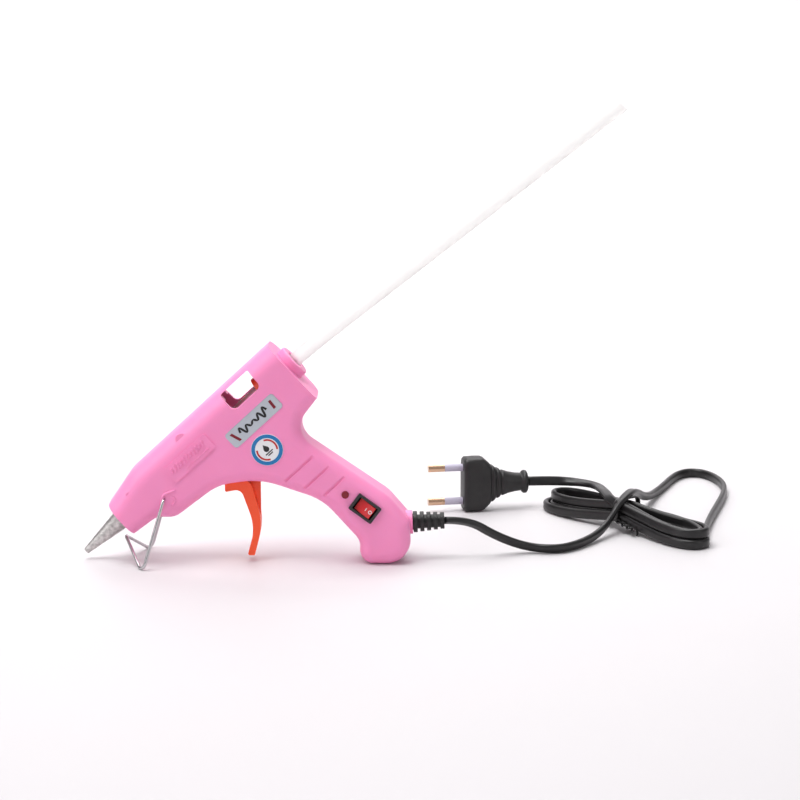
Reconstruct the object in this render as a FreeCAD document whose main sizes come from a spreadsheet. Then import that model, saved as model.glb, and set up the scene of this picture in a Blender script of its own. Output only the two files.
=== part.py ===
import FreeCAD, Part
import Sketcher
import math
import os

from FreeCAD import Placement, Rotation, Vector

# A small hot glue gun. X runs from the nozzle to the handle, Z is up, Y is across the gun and the
# shells part at y = 0. The barrel leans: "along" is the distance from the nozzle tip up the feed
# axis and "above" is the distance square to it.

doc = FreeCAD.newDocument("GlueGun")

driving_sizes = {
    # feed axis
    "tip_x": -133.4, "tip_height": 4.2, "barrel_tilt": 42.8,
    # housing
    "half_width": 13.0, "wall": 2.2, "edge_round": 6.0, "crown_round": 9.0,
    "barrel_front": 26.6, "barrel_rear": 141.5, "barrel_crown": 15.0, "rear_foot": -20.7,
    "nose_crown": 10.2, "nose_floor": -9.0, "crown_break": 47.0,
    "belly_front_x": -96.5, "belly_rear_x": -87.0, "belly_height": 24.1,
    "arch_front_x": -65.5, "arch_front_height": 40.6, "arch_top_x": -44.5, "arch_top_height": 43.6,
    "grip_front_x": -13.5, "grip_front_height": 33.0,
    "heel_front_x": 5.4, "heel_front_height": 12.0, "heel_rear_x": 31.0,
    "grip_end_x": 30.7, "grip_end_height": 22.3, "grip_back_x": 20.0, "grip_back_height": 34.8,
    "web_x": -28.5, "web_height": 68.2, "web_round": 11.3,
    # clearances
    "running_gap": 0.3, "fit_gap": 0.05,
    # glue stick and inlet
    "stick_diameter": 7.2, "stick_front": 80.0, "stick_straight": 61.0, "stick_bend_radius": 290.0,
    "stick_bend_angle": 4.7, "stick_length": 270.0,
    "collar_radius": 8.5, "collar_height": 4.0, "collar_bore": 4.35, "collar_neck": 7.0,
    "collar_lip": 8.0, "collar_lip_height": 2.0,
    # window
    "window_front": 107.3, "window_rear": 125.9, "window_floor": 3.0, "window_top": 13.3,
    "window_round": 3.0,
    # nozzle and heater
    "nozzle_tip_radius": 1.6, "nozzle_root_radius": 5.3, "nozzle_bore": 0.9, "nozzle_throat": 2.0,
    "nozzle_tip_land": 5.0, "nozzle_shoulder": 33.0, "nozzle_spigot": 3.2, "nozzle_spigot_length": 4.0,
    "chamber_radius": 6.8, "chamber_rear": 71.0, "chamber_neck_radius": 5.2, "chamber_neck": 5.0,
    "melt_bore": 3.75, "heater_front": 46.0, "heater_rear": 66.0, "heater_block_width": 12.0,
    "heater_block_floor": -11.8, "heater_slot_width": 9.6, "heater_slot_height": 2.4,
    "heater_slot_middle": -9.2, "film_thickness": 0.2, "electrode_thickness": 0.3,
    "heater_disc_width": 8.0, "heater_disc_length": 15.0,
    "insulator_radius": 6.3, "insulator_front": 29.0,
    "shield_radius": 8.6, "shield_thickness": 0.3, "shield_front": 41.0, "shield_rear": 67.0,
    "sleeve_radius": 6.2, "sleeve_rear": 90.0, "clip_width": 2.0, "clip_thickness": 0.8,
    "cradle_thickness": 2.0, "cradle_front": 38.0, "cradle_rear": 68.0,
    # feed carriage
    "carriage_front": 122.0, "carriage_length": 12.0, "carriage_radius": 7.6,
    "carriage_rail_half": 10.0, "rail_height": 2.0, "tongue_front": 88.0, "tongue_half": 3.0,
    "tongue_floor": -9.6, "tongue_top": -6.8, "claw_thickness": 1.2, "claw_length": 6.0,
    "spring_radius": 2.2, "spring_wire": 0.6, "spring_coils": 7.0, "spring_height": -12.9,
    "spring_post": 104.0, "post_thickness": 2.0,
    # trigger
    "pivot_x": -53.0, "pivot_height": 50.0, "pin_radius": 1.5, "pin_length": 23.0,
    "hub_radius": 4.2, "trigger_half": 6.0, "trigger_web_half": 2.2, "trigger_swing": 24.0,
    "arm_half": 1.6, "arm_nub": 1.4, "arm_reach": 13.5, "arm_tip": 14.3, "arm_play": 0.6,
    "trigger_top_x": -62.3, "trigger_foot_x": -50.9, "trigger_foot_height": 3.6,
    "blade_thickness": 4.0, "slot_front_x": -63.6, "slot_rear_x": -39.0,
    # stand
    "stand_pivot_x": -92.4, "stand_pivot_height": 34.3, "stand_wire_radius": 0.85,
    "stand_leg_half": 15.2, "stand_foot_half": 22.6, "stand_foot_x": -102.8,
    "stand_foot_drop": 2.07,
    "stand_apex_x": -113.3, "stand_apex_height": 12.4, "stand_pin_inner": 9.6,
    # switch and lamp
    "switch_x": 8.0, "switch_height": 29.9, "switch_tilt": -36.6, "bezel_length": 13.8,
    "bezel_width": 9.6, "bezel_height": 1.3, "switch_body_length": 12.4, "switch_body_width": 8.2,
    "switch_body_depth": 9.0, "rocker_length": 10.4, "rocker_width": 6.4, "rocker_swing": 20.0,
    "rocker_axle_radius": 0.8, "rocker_axle_height": 1.2,
    "terminal_width": 4.8, "terminal_thickness": 0.8, "terminal_length": 6.0,
    "lamp_x": -1.8, "lamp_height": 36.9, "lamp_radius": 1.85, "lamp_length": 6.0,
    # marks on the side
    "plate_middle": 111.3, "plate_above": -7.1, "plate_length": 32.3, "plate_width": 9.0,
    "plate_thickness": 0.3, "badge_x": -40.5, "badge_height": 59.9, "badge_radius": 8.0,
    "panel_middle": 74.8, "panel_above": 0.8, "panel_length": 27.5, "panel_width": 9.0,
    "panel_proud": 0.6, "groove_depth": 0.6, "groove_width": 1.4, "groove_pitch": 9.2,
    "groove_first": -40.1,
    # screws
    "screw_radius": 1.1, "screw_head_radius": 2.2, "screw_head_height": 1.6, "screw_length": 17.0,
    "boss_radius": 3.0,
    # mains lead
    "cord_mouth_x": 31.9, "cord_mouth_height": 19.5, "cord_mouth_tilt": 2.7, "mouth_radius": 6.0,
    "mouth_bore": 4.2, "grommet_length": 17.0, "grommet_rings": 5.0, "grommet_ring_radius": 5.4,
    "grommet_core_radius": 3.6, "grommet_tip_radius": 4.2, "grommet_flange_radius": 5.6,
    "cord_radius": 1.8, "hank_x": 144.0, "hank_y": 62.0, "hank_turn": -53.0, "hank_length": 118.0,
    "hank_width": 32.0, "hank_waist": 18.0, "hank_height": 10.0, "tie_width": 3.0, "tie_thickness": 1.2,
    "wire_radius": 0.7,
    # plug
    "plug_face_x": 59.5, "plug_face_y": 96.9, "plug_length": 36.0, "plug_height": 30.0,
    "plug_thickness": 13.6, "plug_neck_radius": 5.4, "plug_pin_radius": 2.0,
    "plug_pin_length": 19.0, "plug_pin_spacing": 18.6, "plug_sleeve_length": 10.0,
    "plug_sleeve_radius": 2.0, "plug_turn": 190.0,
}

sheet = doc.addObject("Spreadsheet::Sheet", "Sizes")
for row, (name, number) in enumerate(driving_sizes.items(), 1):
    sheet.set(f"A{row}", name)
    sheet.set(f"B{row}", str(number))
    sheet.setAlias(f"B{row}", name)
doc.recompute()


class Size:
    # A number together with the formula that FreeCAD keeps for it.
    def __init__(self, number, formula):
        self.number = float(number)
        self.formula = formula

    def __float__(self):
        return self.number

    def __add__(self, other):
        other = as_size(other)
        return Size(self.number + other.number, f"({self.formula} + {other.formula})")

    def __sub__(self, other):
        other = as_size(other)
        return Size(self.number - other.number, f"({self.formula} - {other.formula})")

    def __mul__(self, other):
        other = as_size(other)
        return Size(self.number * other.number, f"({self.formula} * {other.formula})")

    def __truediv__(self, other):
        other = as_size(other)
        return Size(self.number / other.number, f"({self.formula} / {other.formula})")

    def __neg__(self):
        return Size(-self.number, f"(0 - {self.formula})")

    def __radd__(self, other):
        return as_size(other) + self

    def __rsub__(self, other):
        return as_size(other) - self

    def __rmul__(self, other):
        return as_size(other) * self

    def __lt__(self, other):
        return float(self) < float(other)


def as_size(thing):
    return thing if isinstance(thing, Size) else Size(thing, repr(float(thing)))


def cell(name):
    return Size(sheet.get(name), f"Sizes.{name}")


# ---- frames ----

tilt = math.radians(cell("barrel_tilt").number)
barrel_place = Placement(Vector(float(cell("tip_x")), 0, float(cell("tip_height"))),
                         Rotation(Vector(0, 1, 0), -cell("barrel_tilt").number))
upright = Placement()


def to_floor(along, above):
    # barrel frame to (x, height)
    point = barrel_place.multVec(Vector(float(along), 0, float(above)))
    return point.x, point.z


def to_barrel(x, height):
    # (x, height) to barrel frame
    point = barrel_place.inverse().multVec(Vector(float(x), 0, float(height)))
    return point.x, point.z


# ---- helpers for bodies and sketches ----

def new_body(label, place=upright):
    body = doc.addObject("PartDesign::Body", label)
    body.Label = label
    body.Placement = place
    return body


def new_sketch(body, name, plane, shift=0.0):
    sketch = body.newObject("Sketcher::SketchObject", name)
    face = [item for item in body.Origin.OriginFeatures if item.Role == plane][0]
    sketch.AttachmentSupport = [(face, "")]
    sketch.MapMode = "FlatFace"
    sketch.setExpression("AttachmentOffset.Base.z", as_size(shift).formula)
    return sketch


def hold(sketch, kind, geometry, point, distance):
    # a dimension from the sketch's origin to a point
    index = sketch.addConstraint(Sketcher.Constraint(kind, -1, 1, geometry, point, float(distance)))
    sketch.setExpression(f"Constraints[{index}]", as_size(distance).formula)


def draw_circle(sketch, x, y, radius):
    geometry = sketch.addGeometry(Part.Circle(Vector(float(x), float(y), 0), Vector(0, 0, 1),
                                              float(radius)), False)
    index = sketch.addConstraint(Sketcher.Constraint("Radius", geometry, float(radius)))
    sketch.setExpression(f"Constraints[{index}]", as_size(radius).formula)
    hold(sketch, "DistanceX", geometry, 3, x)
    hold(sketch, "DistanceY", geometry, 3, y)


def draw_rectangle(sketch, left, right, low, high):
    corners = [(left, low), (right, low), (right, high), (left, high)]
    points = [Vector(float(x), float(y), 0) for x, y in corners]
    for number in range(4):
        sketch.addGeometry(Part.LineSegment(points[number], points[(number + 1) % 4]), False)
    for number in range(4):
        sketch.addConstraint(Sketcher.Constraint("Coincident", number, 2, (number + 1) % 4, 1))
        sketch.addConstraint(Sketcher.Constraint("Vertical" if number % 2 else "Horizontal", number))
    hold(sketch, "DistanceX", 0, 1, left)
    hold(sketch, "DistanceY", 0, 1, low)
    hold(sketch, "DistanceX", 2, 1, right)
    hold(sketch, "DistanceY", 2, 1, high)


def corner_arc(before, corner, after, radius):
    # start, middle and end of the arc that rounds a corner
    back = (before - corner).normalize()
    ahead = (after - corner).normalize()
    half = back.getAngle(ahead) / 2
    reach = radius / math.tan(half)
    centre = corner + (back + ahead).normalize() * (radius / math.sin(half))
    middle = centre + (corner - centre).normalize() * radius
    return corner + back * reach, middle, corner + ahead * reach


def rounded_edges(corners, closed=True):
    # lines and arcs round a list of (x, y, radius) or (x, y, z, radius) corners
    places = [Vector(*[float(n) for n in corner[:-1]]) for corner in corners]
    radii = [float(corner[-1]) for corner in corners]
    count = len(places)
    stops = []
    for number, (place, radius) in enumerate(zip(places, radii)):
        end = not closed and number in (0, count - 1)
        if radius < 1e-6 or end:
            stops.append((place, None, place))
            continue
        stops.append(corner_arc(places[number - 1], place, places[(number + 1) % count], radius))
    edges = []
    for number, (start, middle, finish) in enumerate(stops):
        if middle is not None:
            edges.append(Part.Arc(start, middle, finish))
        if closed or number < count - 1:
            following = stops[(number + 1) % count][0]
            if (following - finish).Length > 1e-5:
                edges.append(Part.LineSegment(finish, following))
    return edges


def draw_outline(sketch, corners):
    for edge in rounded_edges(corners):
        if isinstance(edge, Part.ArcOfCircle) and edge.Axis.z < 0:
            middle = edge.value((edge.FirstParameter + edge.LastParameter) / 2)
            edge = Part.Arc(edge.EndPoint, middle, edge.StartPoint)
        number = sketch.addGeometry(edge, False)
        sketch.addConstraint(Sketcher.Constraint("Block", number))


def finish_feature(body, feature, sketch, length):
    feature.Profile = sketch
    feature.Type = 0
    feature.setExpression("Length", length.formula)
    body.Tip = feature
    doc.recompute()
    return feature


def plane_shift(plane, low, high, cutting):
    # the sketch plane stands at the end of the range that the feature starts from
    if plane == "XZ_Plane":
        return -as_size(low) if cutting else -as_size(high)
    return as_size(high) if cutting else as_size(low)


def pad(body, name, plane, low, high, draw, *values):
    sketch = new_sketch(body, name + "Sketch", plane, plane_shift(plane, low, high, False))
    draw(sketch, *values)
    feature = body.newObject("PartDesign::Pad", name)
    return finish_feature(body, feature, sketch, as_size(high) - as_size(low))


def pocket(body, name, plane, low, high, draw, *values):
    before = body.Shape.Volume
    sketch = new_sketch(body, name + "Sketch", plane, plane_shift(plane, low, high, True))
    draw(sketch, *values)
    feature = body.newObject("PartDesign::Pocket", name)
    finish_feature(body, feature, sketch, as_size(high) - as_size(low))
    if body.Shape.Volume > before - 1e-3:
        raise RuntimeError(f"{body.Label}: {name} cuts nothing")
    return feature


def turned(body, name, corners, cut=False):
    # a profile in (along, radius) turned round the body's X axis
    sketch = new_sketch(body, name + "Sketch", "XZ_Plane")
    draw_outline(sketch, corners)
    kind = "PartDesign::Groove" if cut else "PartDesign::Revolution"
    feature = body.newObject(kind, name)
    feature.Profile = sketch
    feature.ReferenceAxis = (sketch, ["H_Axis"])
    feature.Angle = 360
    body.Tip = feature
    doc.recompute()
    return feature


def round_edges(body, name, radius, wanted):
    # fillets the edges of the body whose middle passes the wanted test
    names = []
    base = body.Tip
    for number, edge in enumerate(base.Shape.Edges, 1):
        middle = edge.valueAt((edge.FirstParameter + edge.LastParameter) / 2)
        if wanted(middle, edge):
            names.append(f"Edge{number}")
    feature = body.newObject("PartDesign::Fillet", name)
    feature.Base = (base, names)
    feature.setExpression("Radius", radius.formula)
    body.Tip = feature
    doc.recompute()
    return feature


def tube_along(label, points, radius, place=upright):
    # a round tube along straight runs joined by tangent arcs
    path = Part.Wire([edge.toShape() for edge in rounded_edges(points, closed=False)])
    start = path.Edges[0].valueAt(path.Edges[0].FirstParameter)
    heading = path.Edges[0].tangentAt(path.Edges[0].FirstParameter)
    section = Part.Wire([Part.Circle(start, heading, radius).toShape()])
    tube = doc.addObject("Part::Feature", label)
    tube.Label = label
    tube.Shape = path.makePipeShell([section], True, False)
    tube.Placement = place
    expected = math.pi * radius ** 2 * path.Length
    if abs(tube.Shape.Volume / expected - 1) > 0.01:
        raise RuntimeError(f"{label}: tube volume {tube.Shape.Volume:.0f}, not {expected:.0f}")
    return tube, path.Length


# ---- shared lines of the housing ----

half = cell("half_width")
gap = cell("running_gap")
fit = cell("fit_gap")
rear = cell("barrel_rear")
pivot_along, pivot_above = to_barrel(cell("pivot_x"), cell("pivot_height"))


def on_barrel(x, height, radius):
    return to_barrel(x, height) + (radius,)


def housing_outline(inset=0.0):
    # nose, belly, trigger arch, grip, heel, grip back, thumb web, barrel rear and crown
    heel_front = float(cell("heel_front_x"))
    heel_rear = float(cell("heel_rear_x"))
    corners = [
        (float(cell("barrel_front")), float(cell("nose_floor")), 0.0, 1),
        on_barrel(cell("belly_front_x"), cell("belly_height"), 8.0) + (-1,),
        on_barrel(cell("belly_rear_x"), cell("belly_height"), 9.0) + (1,),
        on_barrel(cell("arch_front_x"), cell("arch_front_height"), 26.0) + (-1,),
        on_barrel(cell("arch_top_x"), cell("arch_top_height"), 40.0) + (-1,),
        on_barrel(cell("grip_front_x"), cell("grip_front_height"), 30.0) + (-1,),
        on_barrel(cell("heel_front_x"), cell("heel_front_height"), 8.0) + (-1,),
        on_barrel(heel_front, 0.0, 7.0) + (1,),
        on_barrel(heel_rear, 0.0, 12.0) + (1,),
        on_barrel(cell("grip_end_x"), cell("grip_end_height"), 7.0) + (1,),
        on_barrel(cell("grip_back_x"), cell("grip_back_height"), 20.0) + (1,),
        on_barrel(cell("web_x"), cell("web_height"), cell("web_round")) + (-1,),
        (float(rear), float(cell("rear_foot")), 0.0, 1),
        (float(rear), float(cell("barrel_crown")), 0.0, 1),
        (float(cell("crown_break")), float(cell("barrel_crown")), 20.0, 1),
        (float(cell("barrel_front")), float(cell("nose_crown")), 0.0, 1),
    ]
    return inset_corners(corners, inset)


def inset_corners(corners, inset):
    # moves every side inward; a bulging corner loses radius and a hollow one gains it
    if inset == 0:
        return [(x, y, float(radius)) for x, y, radius, bulge in corners]
    places = [Vector(x, y, 0) for x, y, radius, bulge in corners]
    count = len(places)
    sides = []
    for number, place in enumerate(places):
        heading = (places[(number + 1) % count] - place).normalize()
        inward = Vector(-heading.y, heading.x, 0)
        sides.append((place + inward * inset, heading))
    moved = []
    for number, (x, y, radius, bulge) in enumerate(corners):
        point, heading = sides[number]
        before, before_heading = sides[number - 1]
        cross = before_heading.cross(heading).z
        step = (point - before).cross(heading).z / cross
        place = before + before_heading * step
        fresh = max(float(radius) - bulge * inset, 0.4) if radius else 0.0
        moved.append((place.x, place.y, fresh))
    return moved


def side_range(side, inner, outer):
    # a stretch of Y on one side of the split
    if side < 0:
        return -as_size(outer), -as_size(inner)
    return as_size(inner), as_size(outer)


def turned_rectangle(x, height, length, width, angle):
    # corners in the barrel frame of a rectangle that lies at an angle to the floor
    lean = Rotation(Vector(0, 1, 0), -angle)
    corners = []
    for a, b in ((-1, -1), (1, -1), (1, 1), (-1, 1)):
        point = lean.multVec(Vector(a * length / 2, 0, b * width / 2))
        corners.append(on_barrel(float(x) + point.x, float(height) + point.z, 0.0))
    return corners


screw_places = [
    (78.0, 10.3), (80.0, -14.5), (131.0, -13.2), (117.5, -34.0), (112.0, -76.0), (112.2, -98.7),
]
inner_half = half - cell("wall")
mouth = to_barrel(cell("cord_mouth_x"), cell("cord_mouth_height"))
mouth_turn = math.radians(cell("cord_mouth_tilt").number - cell("barrel_tilt").number)


def mouth_profile(near, far, radius):
    # a rectangle beside the cord's axis, from near to far along it
    heading = Vector(math.cos(mouth_turn), math.sin(mouth_turn), 0)
    across = Vector(-heading.y, heading.x, 0)
    origin = Vector(mouth[0], mouth[1], 0)
    places = [origin + heading * near, origin + heading * far]
    return [places[0], places[1], places[1] + across * radius, places[0] + across * radius]


def turn_about_mouth(body, name, near, far, radius, side, cutting):
    # half a turn round the cord's axis, on one side of the split
    sketch = new_sketch(body, name + "Sketch", "XZ_Plane")
    points = mouth_profile(float(near), float(far), float(radius))
    for number in range(4):
        sketch.addGeometry(Part.LineSegment(points[number], points[(number + 1) % 4]), False)
        sketch.addConstraint(Sketcher.Constraint("Block", number))
    sketch.addGeometry(Part.LineSegment(points[0], points[1]), True)
    kind = "PartDesign::Groove" if cutting else "PartDesign::Revolution"
    feature = body.newObject(kind, name)
    feature.Profile = sketch
    feature.ReferenceAxis = (sketch, ["Axis0"])
    feature.Angle = 360 if cutting else 180
    feature.Reversed = side > 0
    body.Tip = feature
    doc.recompute()
    return feature


def housing_shell(label, side):
    body = new_body(label, barrel_place)
    low, high = side_range(side, 0, half)
    pad(body, "Outside", "XZ_Plane", low, high, draw_outline, housing_outline())
    face = side * float(half)
    front = float(cell("barrel_front"))

    def on_face(place):
        return abs(place.y - face) < 1e-4

    def on_crown(place, edge):
        ends = front + 1 < place.x < float(rear) - 0.5
        return on_face(place) and ends and place.z > float(cell("nose_crown")) - 0.2

    def on_grip(place, edge):
        ends = front + 0.5 < place.x < float(rear) - 0.2
        return on_face(place) and (ends or place.z < -22) and place.z < 8

    round_edges(body, "CrownRound", cell("crown_round"), on_crown)
    round_edges(body, "GripRound", cell("edge_round"), on_grip)
    deep = cell("edge_round") + 0.5
    low, high = side_range(side, 0, half - deep)
    pocket(body, "Cavity", "XZ_Plane", low, high, draw_outline, housing_outline(2.2))
    low, high = side_range(side, half - deep, inner_half)
    pocket(body, "DeepCavity", "XZ_Plane", low, high, draw_outline, housing_outline(5.6))
    add_supports(body, side)
    add_openings(body, side)
    add_side_marks(body, side)
    return body


def add_supports(body, side):
    # cradles for the heater, screw bosses, the trigger pin's boss, rails and the spring's post
    low, high = side_range(side, 0, half - 1.0)
    thick = cell("cradle_thickness")
    for number, place in enumerate((cell("cradle_front"), cell("cradle_rear"))):
        pad(body, f"Cradle{number}", "XZ_Plane", low, high, draw_rectangle, place, place + thick,
            as_size(-8.0), as_size(9.0))
        pocket(body, f"CradleBore{number}", "YZ_Plane", place - 0.1, place + thick + 0.1,
               draw_circle, 0, 0, cell("chamber_radius") + fit)
    low, high = side_range(side, 0.0 if side < 0 else 0.05, half - 1.5)
    for number, (along, above) in enumerate(screw_places):
        pad(body, f"Boss{number}", "XZ_Plane", low, high, draw_circle, along, above,
            cell("boss_radius"))
    low, high = side_range(side, cell("trigger_half") + gap, half - 1.5)
    pad(body, "PivotBoss", "XZ_Plane", low, high, draw_circle, pivot_along, pivot_above,
        cell("pin_radius") + 1.8)
    low, high = side_range(side, cell("carriage_radius") + 0.6, half - 1.5)
    rail_top = -(cell("rail_height") / 2) - gap
    pad(body, "Rail", "XZ_Plane", low, high, draw_rectangle, cell("carriage_front") - 10.0,
        cell("carriage_front") + cell("carriage_length") + 1.0, rail_top - 1.2, rail_top)
    low, high = side_range(side, 0, half - 1.0)
    post = cell("spring_post")
    pad(body, "SpringPost", "XZ_Plane", low, high, draw_rectangle, post,
        post + cell("post_thickness"), cell("spring_height") - 3.0, cell("tongue_floor") - gap)
    low, high = side_range(side, cell("stand_pin_inner") - 1.0, half - 1.0)
    along, above = to_barrel(cell("stand_pivot_x"), cell("stand_pivot_height"))
    pad(body, "StandBoss", "XZ_Plane", low, high, draw_circle, along, above,
        cell("stand_wire_radius") + 2.0)


def add_openings(body, side):
    low, high = side_range(side, 0, half + 1.0)
    pocket(body, "NozzleHole", "YZ_Plane", cell("barrel_front") - 1.0,
           cell("insulator_front"), draw_circle, 0, 0, cell("nozzle_root_radius") + gap)
    pocket(body, "CollarHole", "YZ_Plane", rear - cell("wall") - 0.5, rear + 1.0, draw_circle, 0, 0,
           cell("collar_neck") + fit)
    pocket(body, "CollarSeat", "YZ_Plane", rear - cell("wall") - cell("collar_lip_height") - 2 * fit,
           rear - cell("wall"), draw_circle, 0, 0, cell("collar_lip") + fit)
    window = [
        (cell("window_front"), cell("window_floor"), cell("window_round")),
        (cell("window_rear"), cell("window_floor"), cell("window_round")),
        (cell("window_rear"), cell("window_top"), 0.8),
        (cell("window_front"), cell("window_top"), 0.8),
    ]
    pocket(body, "Window", "XZ_Plane", low, high, draw_outline, window)
    low, high = side_range(side, 0, cell("trigger_half") + gap)
    slot = [on_barrel(cell("slot_front_x"), 36.0, 0.0), on_barrel(cell("slot_rear_x"), 36.0, 0.0),
            on_barrel(cell("slot_rear_x"), 47.0, 0.0), on_barrel(cell("slot_front_x"), 47.0, 0.0)]
    pocket(body, "TriggerSlot", "XZ_Plane", low, high, draw_outline, slot)
    low, high = side_range(side, cell("trigger_half"), half - 1.8)
    pocket(body, "PivotHole", "XZ_Plane", low, high, draw_circle, pivot_along, pivot_above,
           cell("pin_radius") + fit)
    low, high = side_range(side, cell("stand_pin_inner") - 0.2, half + 1.0)
    along, above = to_barrel(cell("stand_pivot_x"), cell("stand_pivot_height"))
    pocket(body, "StandHole", "XZ_Plane", low, high, draw_circle, along, above,
           cell("stand_wire_radius") + fit)
    add_screw_holes(body, side)
    add_mouth(body, side)


def add_screw_holes(body, side):
    for number, (along, above) in enumerate(screw_places):
        if side < 0:
            low, high = side_range(side, 0, half - 2.4)
            pocket(body, f"Pilot{number}", "XZ_Plane", low, high, draw_circle, along, above,
                   cell("screw_radius") + fit)
            continue
        seat = cell("screw_length") - (half - 2.6)
        low, high = side_range(side, 0, half + 1.0)
        pocket(body, f"Clear{number}", "XZ_Plane", low, high, draw_circle, along, above,
               cell("screw_radius") + fit)
        low, high = side_range(side, seat, half + 1.0)
        pocket(body, f"Sunk{number}", "XZ_Plane", low, high, draw_circle, along, above,
               cell("screw_head_radius") + gap)


def add_mouth(body, side):
    # the collar that holds the cord grommet, and its bore
    turn_about_mouth(body, "MouthCollar", -6.0, 0.0, cell("mouth_radius"), side, False)
    turn_about_mouth(body, "MouthBore", -7.0, 1.0, cell("mouth_bore"), side, True)
    turn_about_mouth(body, "MouthGroove", -3.2, -1.6, cell("grommet_flange_radius") - 0.2, side, True)


def add_side_marks(body, side):
    length = cell("panel_length")
    width = cell("panel_width")
    middle = cell("panel_middle")
    above = cell("panel_above")
    low, high = side_range(side, half - 0.5, half + cell("panel_proud"))
    panel = [(middle - length / 2, above - width / 2, 1.0), (middle + length / 2, above - width / 2, 1.0),
             (middle + length / 2, above + width / 2, 1.0), (middle - length / 2, above + width / 2, 1.0)]
    pad(body, "RaisedPanel", "XZ_Plane", low, high, draw_outline, panel)
    low, high = side_range(side, half - cell("groove_depth"), half + 1.0)
    for number, (start, finish) in enumerate(((101.5, 121.0), (106.0, 123.3), (109.6, 125.1))):
        line = cell("groove_first") - cell("groove_pitch") * number
        pocket(body, f"GripGroove{number}", "XZ_Plane", low, high, draw_rectangle, as_size(start),
               as_size(finish), line - cell("groove_width") / 2, line + cell("groove_width") / 2)
    if side > 0:
        return
    low, high = side_range(side, 0, half + 1.0)
    hole = turned_rectangle(cell("switch_x"), cell("switch_height"),
                            cell("switch_body_length").number + 0.1,
                            cell("switch_body_width").number + 0.1, cell("switch_tilt").number)
    pocket(body, "SwitchHole", "XZ_Plane", low, high, draw_outline, hole)
    along, above = to_barrel(cell("lamp_x"), cell("lamp_height"))
    pocket(body, "LampHole", "XZ_Plane", low, high, draw_circle, along, above,
           cell("lamp_radius") + fit)


housing_left = housing_shell("housing_left", -1)
housing_right = housing_shell("housing_right", 1)


# ---- hot end ----

def make_nozzle():
    body = new_body("nozzle", barrel_place)
    root = cell("nozzle_root_radius")
    shoulder = cell("nozzle_shoulder")
    end = shoulder + cell("nozzle_spigot_length")
    land = cell("nozzle_tip_land")
    turned(body, "Turned", [
        (0, cell("nozzle_bore"), 0), (0, cell("nozzle_tip_radius"), 0.4),
        (cell("barrel_front") - 0.5, root, 0.5), (shoulder, root, 0), (shoulder, cell("nozzle_spigot"), 0),
        (end, cell("nozzle_spigot"), 0), (end, cell("nozzle_throat"), 0),
        (land + 2.0, cell("nozzle_throat"), 0), (land, cell("nozzle_bore"), 0),
    ])


def make_chamber():
    body = new_body("heating_chamber", barrel_place)
    start = cell("nozzle_shoulder") + 0.3
    socket = cell("nozzle_shoulder") + cell("nozzle_spigot_length") + 0.3
    rear_face = cell("chamber_rear")
    neck_end = rear_face + cell("chamber_neck")
    turned(body, "Turned", [
        (start, cell("nozzle_spigot") + fit, 0), (start, cell("chamber_radius"), 0.6),
        (rear_face, cell("chamber_radius"), 0), (rear_face, cell("chamber_neck_radius"), 0),
        (neck_end, cell("chamber_neck_radius"), 0), (neck_end, cell("melt_bore"), 0),
        (socket + 6.0, cell("melt_bore"), 0), (socket + 2.0, cell("nozzle_throat"), 0),
        (socket, cell("nozzle_throat"), 0), (socket, cell("nozzle_spigot") + fit, 0),
    ])
    wide = cell("heater_block_width") / 2
    pad(body, "HeaterBlock", "YZ_Plane", cell("heater_front"), cell("heater_rear"), draw_rectangle,
        -wide, wide, cell("heater_block_floor"), as_size(-5.0))
    slot = cell("heater_slot_width") / 2
    middle = cell("heater_slot_middle")
    tall = cell("heater_slot_height") / 2
    pocket(body, "HeaterSlot", "YZ_Plane", cell("heater_front") - 1.0, cell("heater_rear") + 1.0,
           draw_rectangle, -slot, slot, middle - tall, middle + tall)


def make_heater():
    # a flat folded film, a pair of electrodes in it and the heating disc between them
    film = cell("film_thickness")
    electrode = cell("electrode_thickness")
    middle = cell("heater_slot_middle")
    wide = cell("heater_slot_width") / 2 - fit
    tall = cell("heater_slot_height") / 2 - fit
    front = cell("heater_front") - 1.0
    end = cell("heater_rear") + 2.0
    body = new_body("heater_film", barrel_place)
    pad(body, "Outside", "YZ_Plane", front, end, draw_rectangle, -wide, wide, middle - tall,
        middle + tall)
    pocket(body, "Inside", "YZ_Plane", front - 1.0, end + 1.0, draw_rectangle, film - wide,
           wide - film, middle - tall + film, middle + tall - film)
    inner = tall - film
    half_disc = cell("heater_disc_width") / 2
    body = new_body("heater_electrodes", barrel_place)
    pad(body, "Lower", "YZ_Plane", front + 1.0, end + 1.5, draw_rectangle, -half_disc, half_disc,
        middle - inner, middle - inner + electrode)
    pad(body, "Upper", "YZ_Plane", front + 1.0, end + 1.5, draw_rectangle, -half_disc, half_disc,
        middle + inner - electrode, middle + inner)
    body = new_body("heater_disc", barrel_place)
    centre = (cell("heater_front") + cell("heater_rear")) / 2
    reach = cell("heater_disc_length") / 2
    pad(body, "Disc", "YZ_Plane", centre - reach, centre + reach, draw_rectangle,
        0.3 - half_disc, half_disc - 0.3, middle - inner + electrode, middle + inner - electrode)


def make_front_insulator():
    body = new_body("front_insulator", barrel_place)
    front = cell("insulator_front")
    inner = cell("nozzle_root_radius") + fit
    turned(body, "Turned", [
        (front, inner, 0), (front, cell("insulator_radius"), 0.3),
        (cell("nozzle_shoulder"), cell("insulator_radius"), 0.3), (cell("nozzle_shoulder"), inner, 0),
    ])


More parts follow.
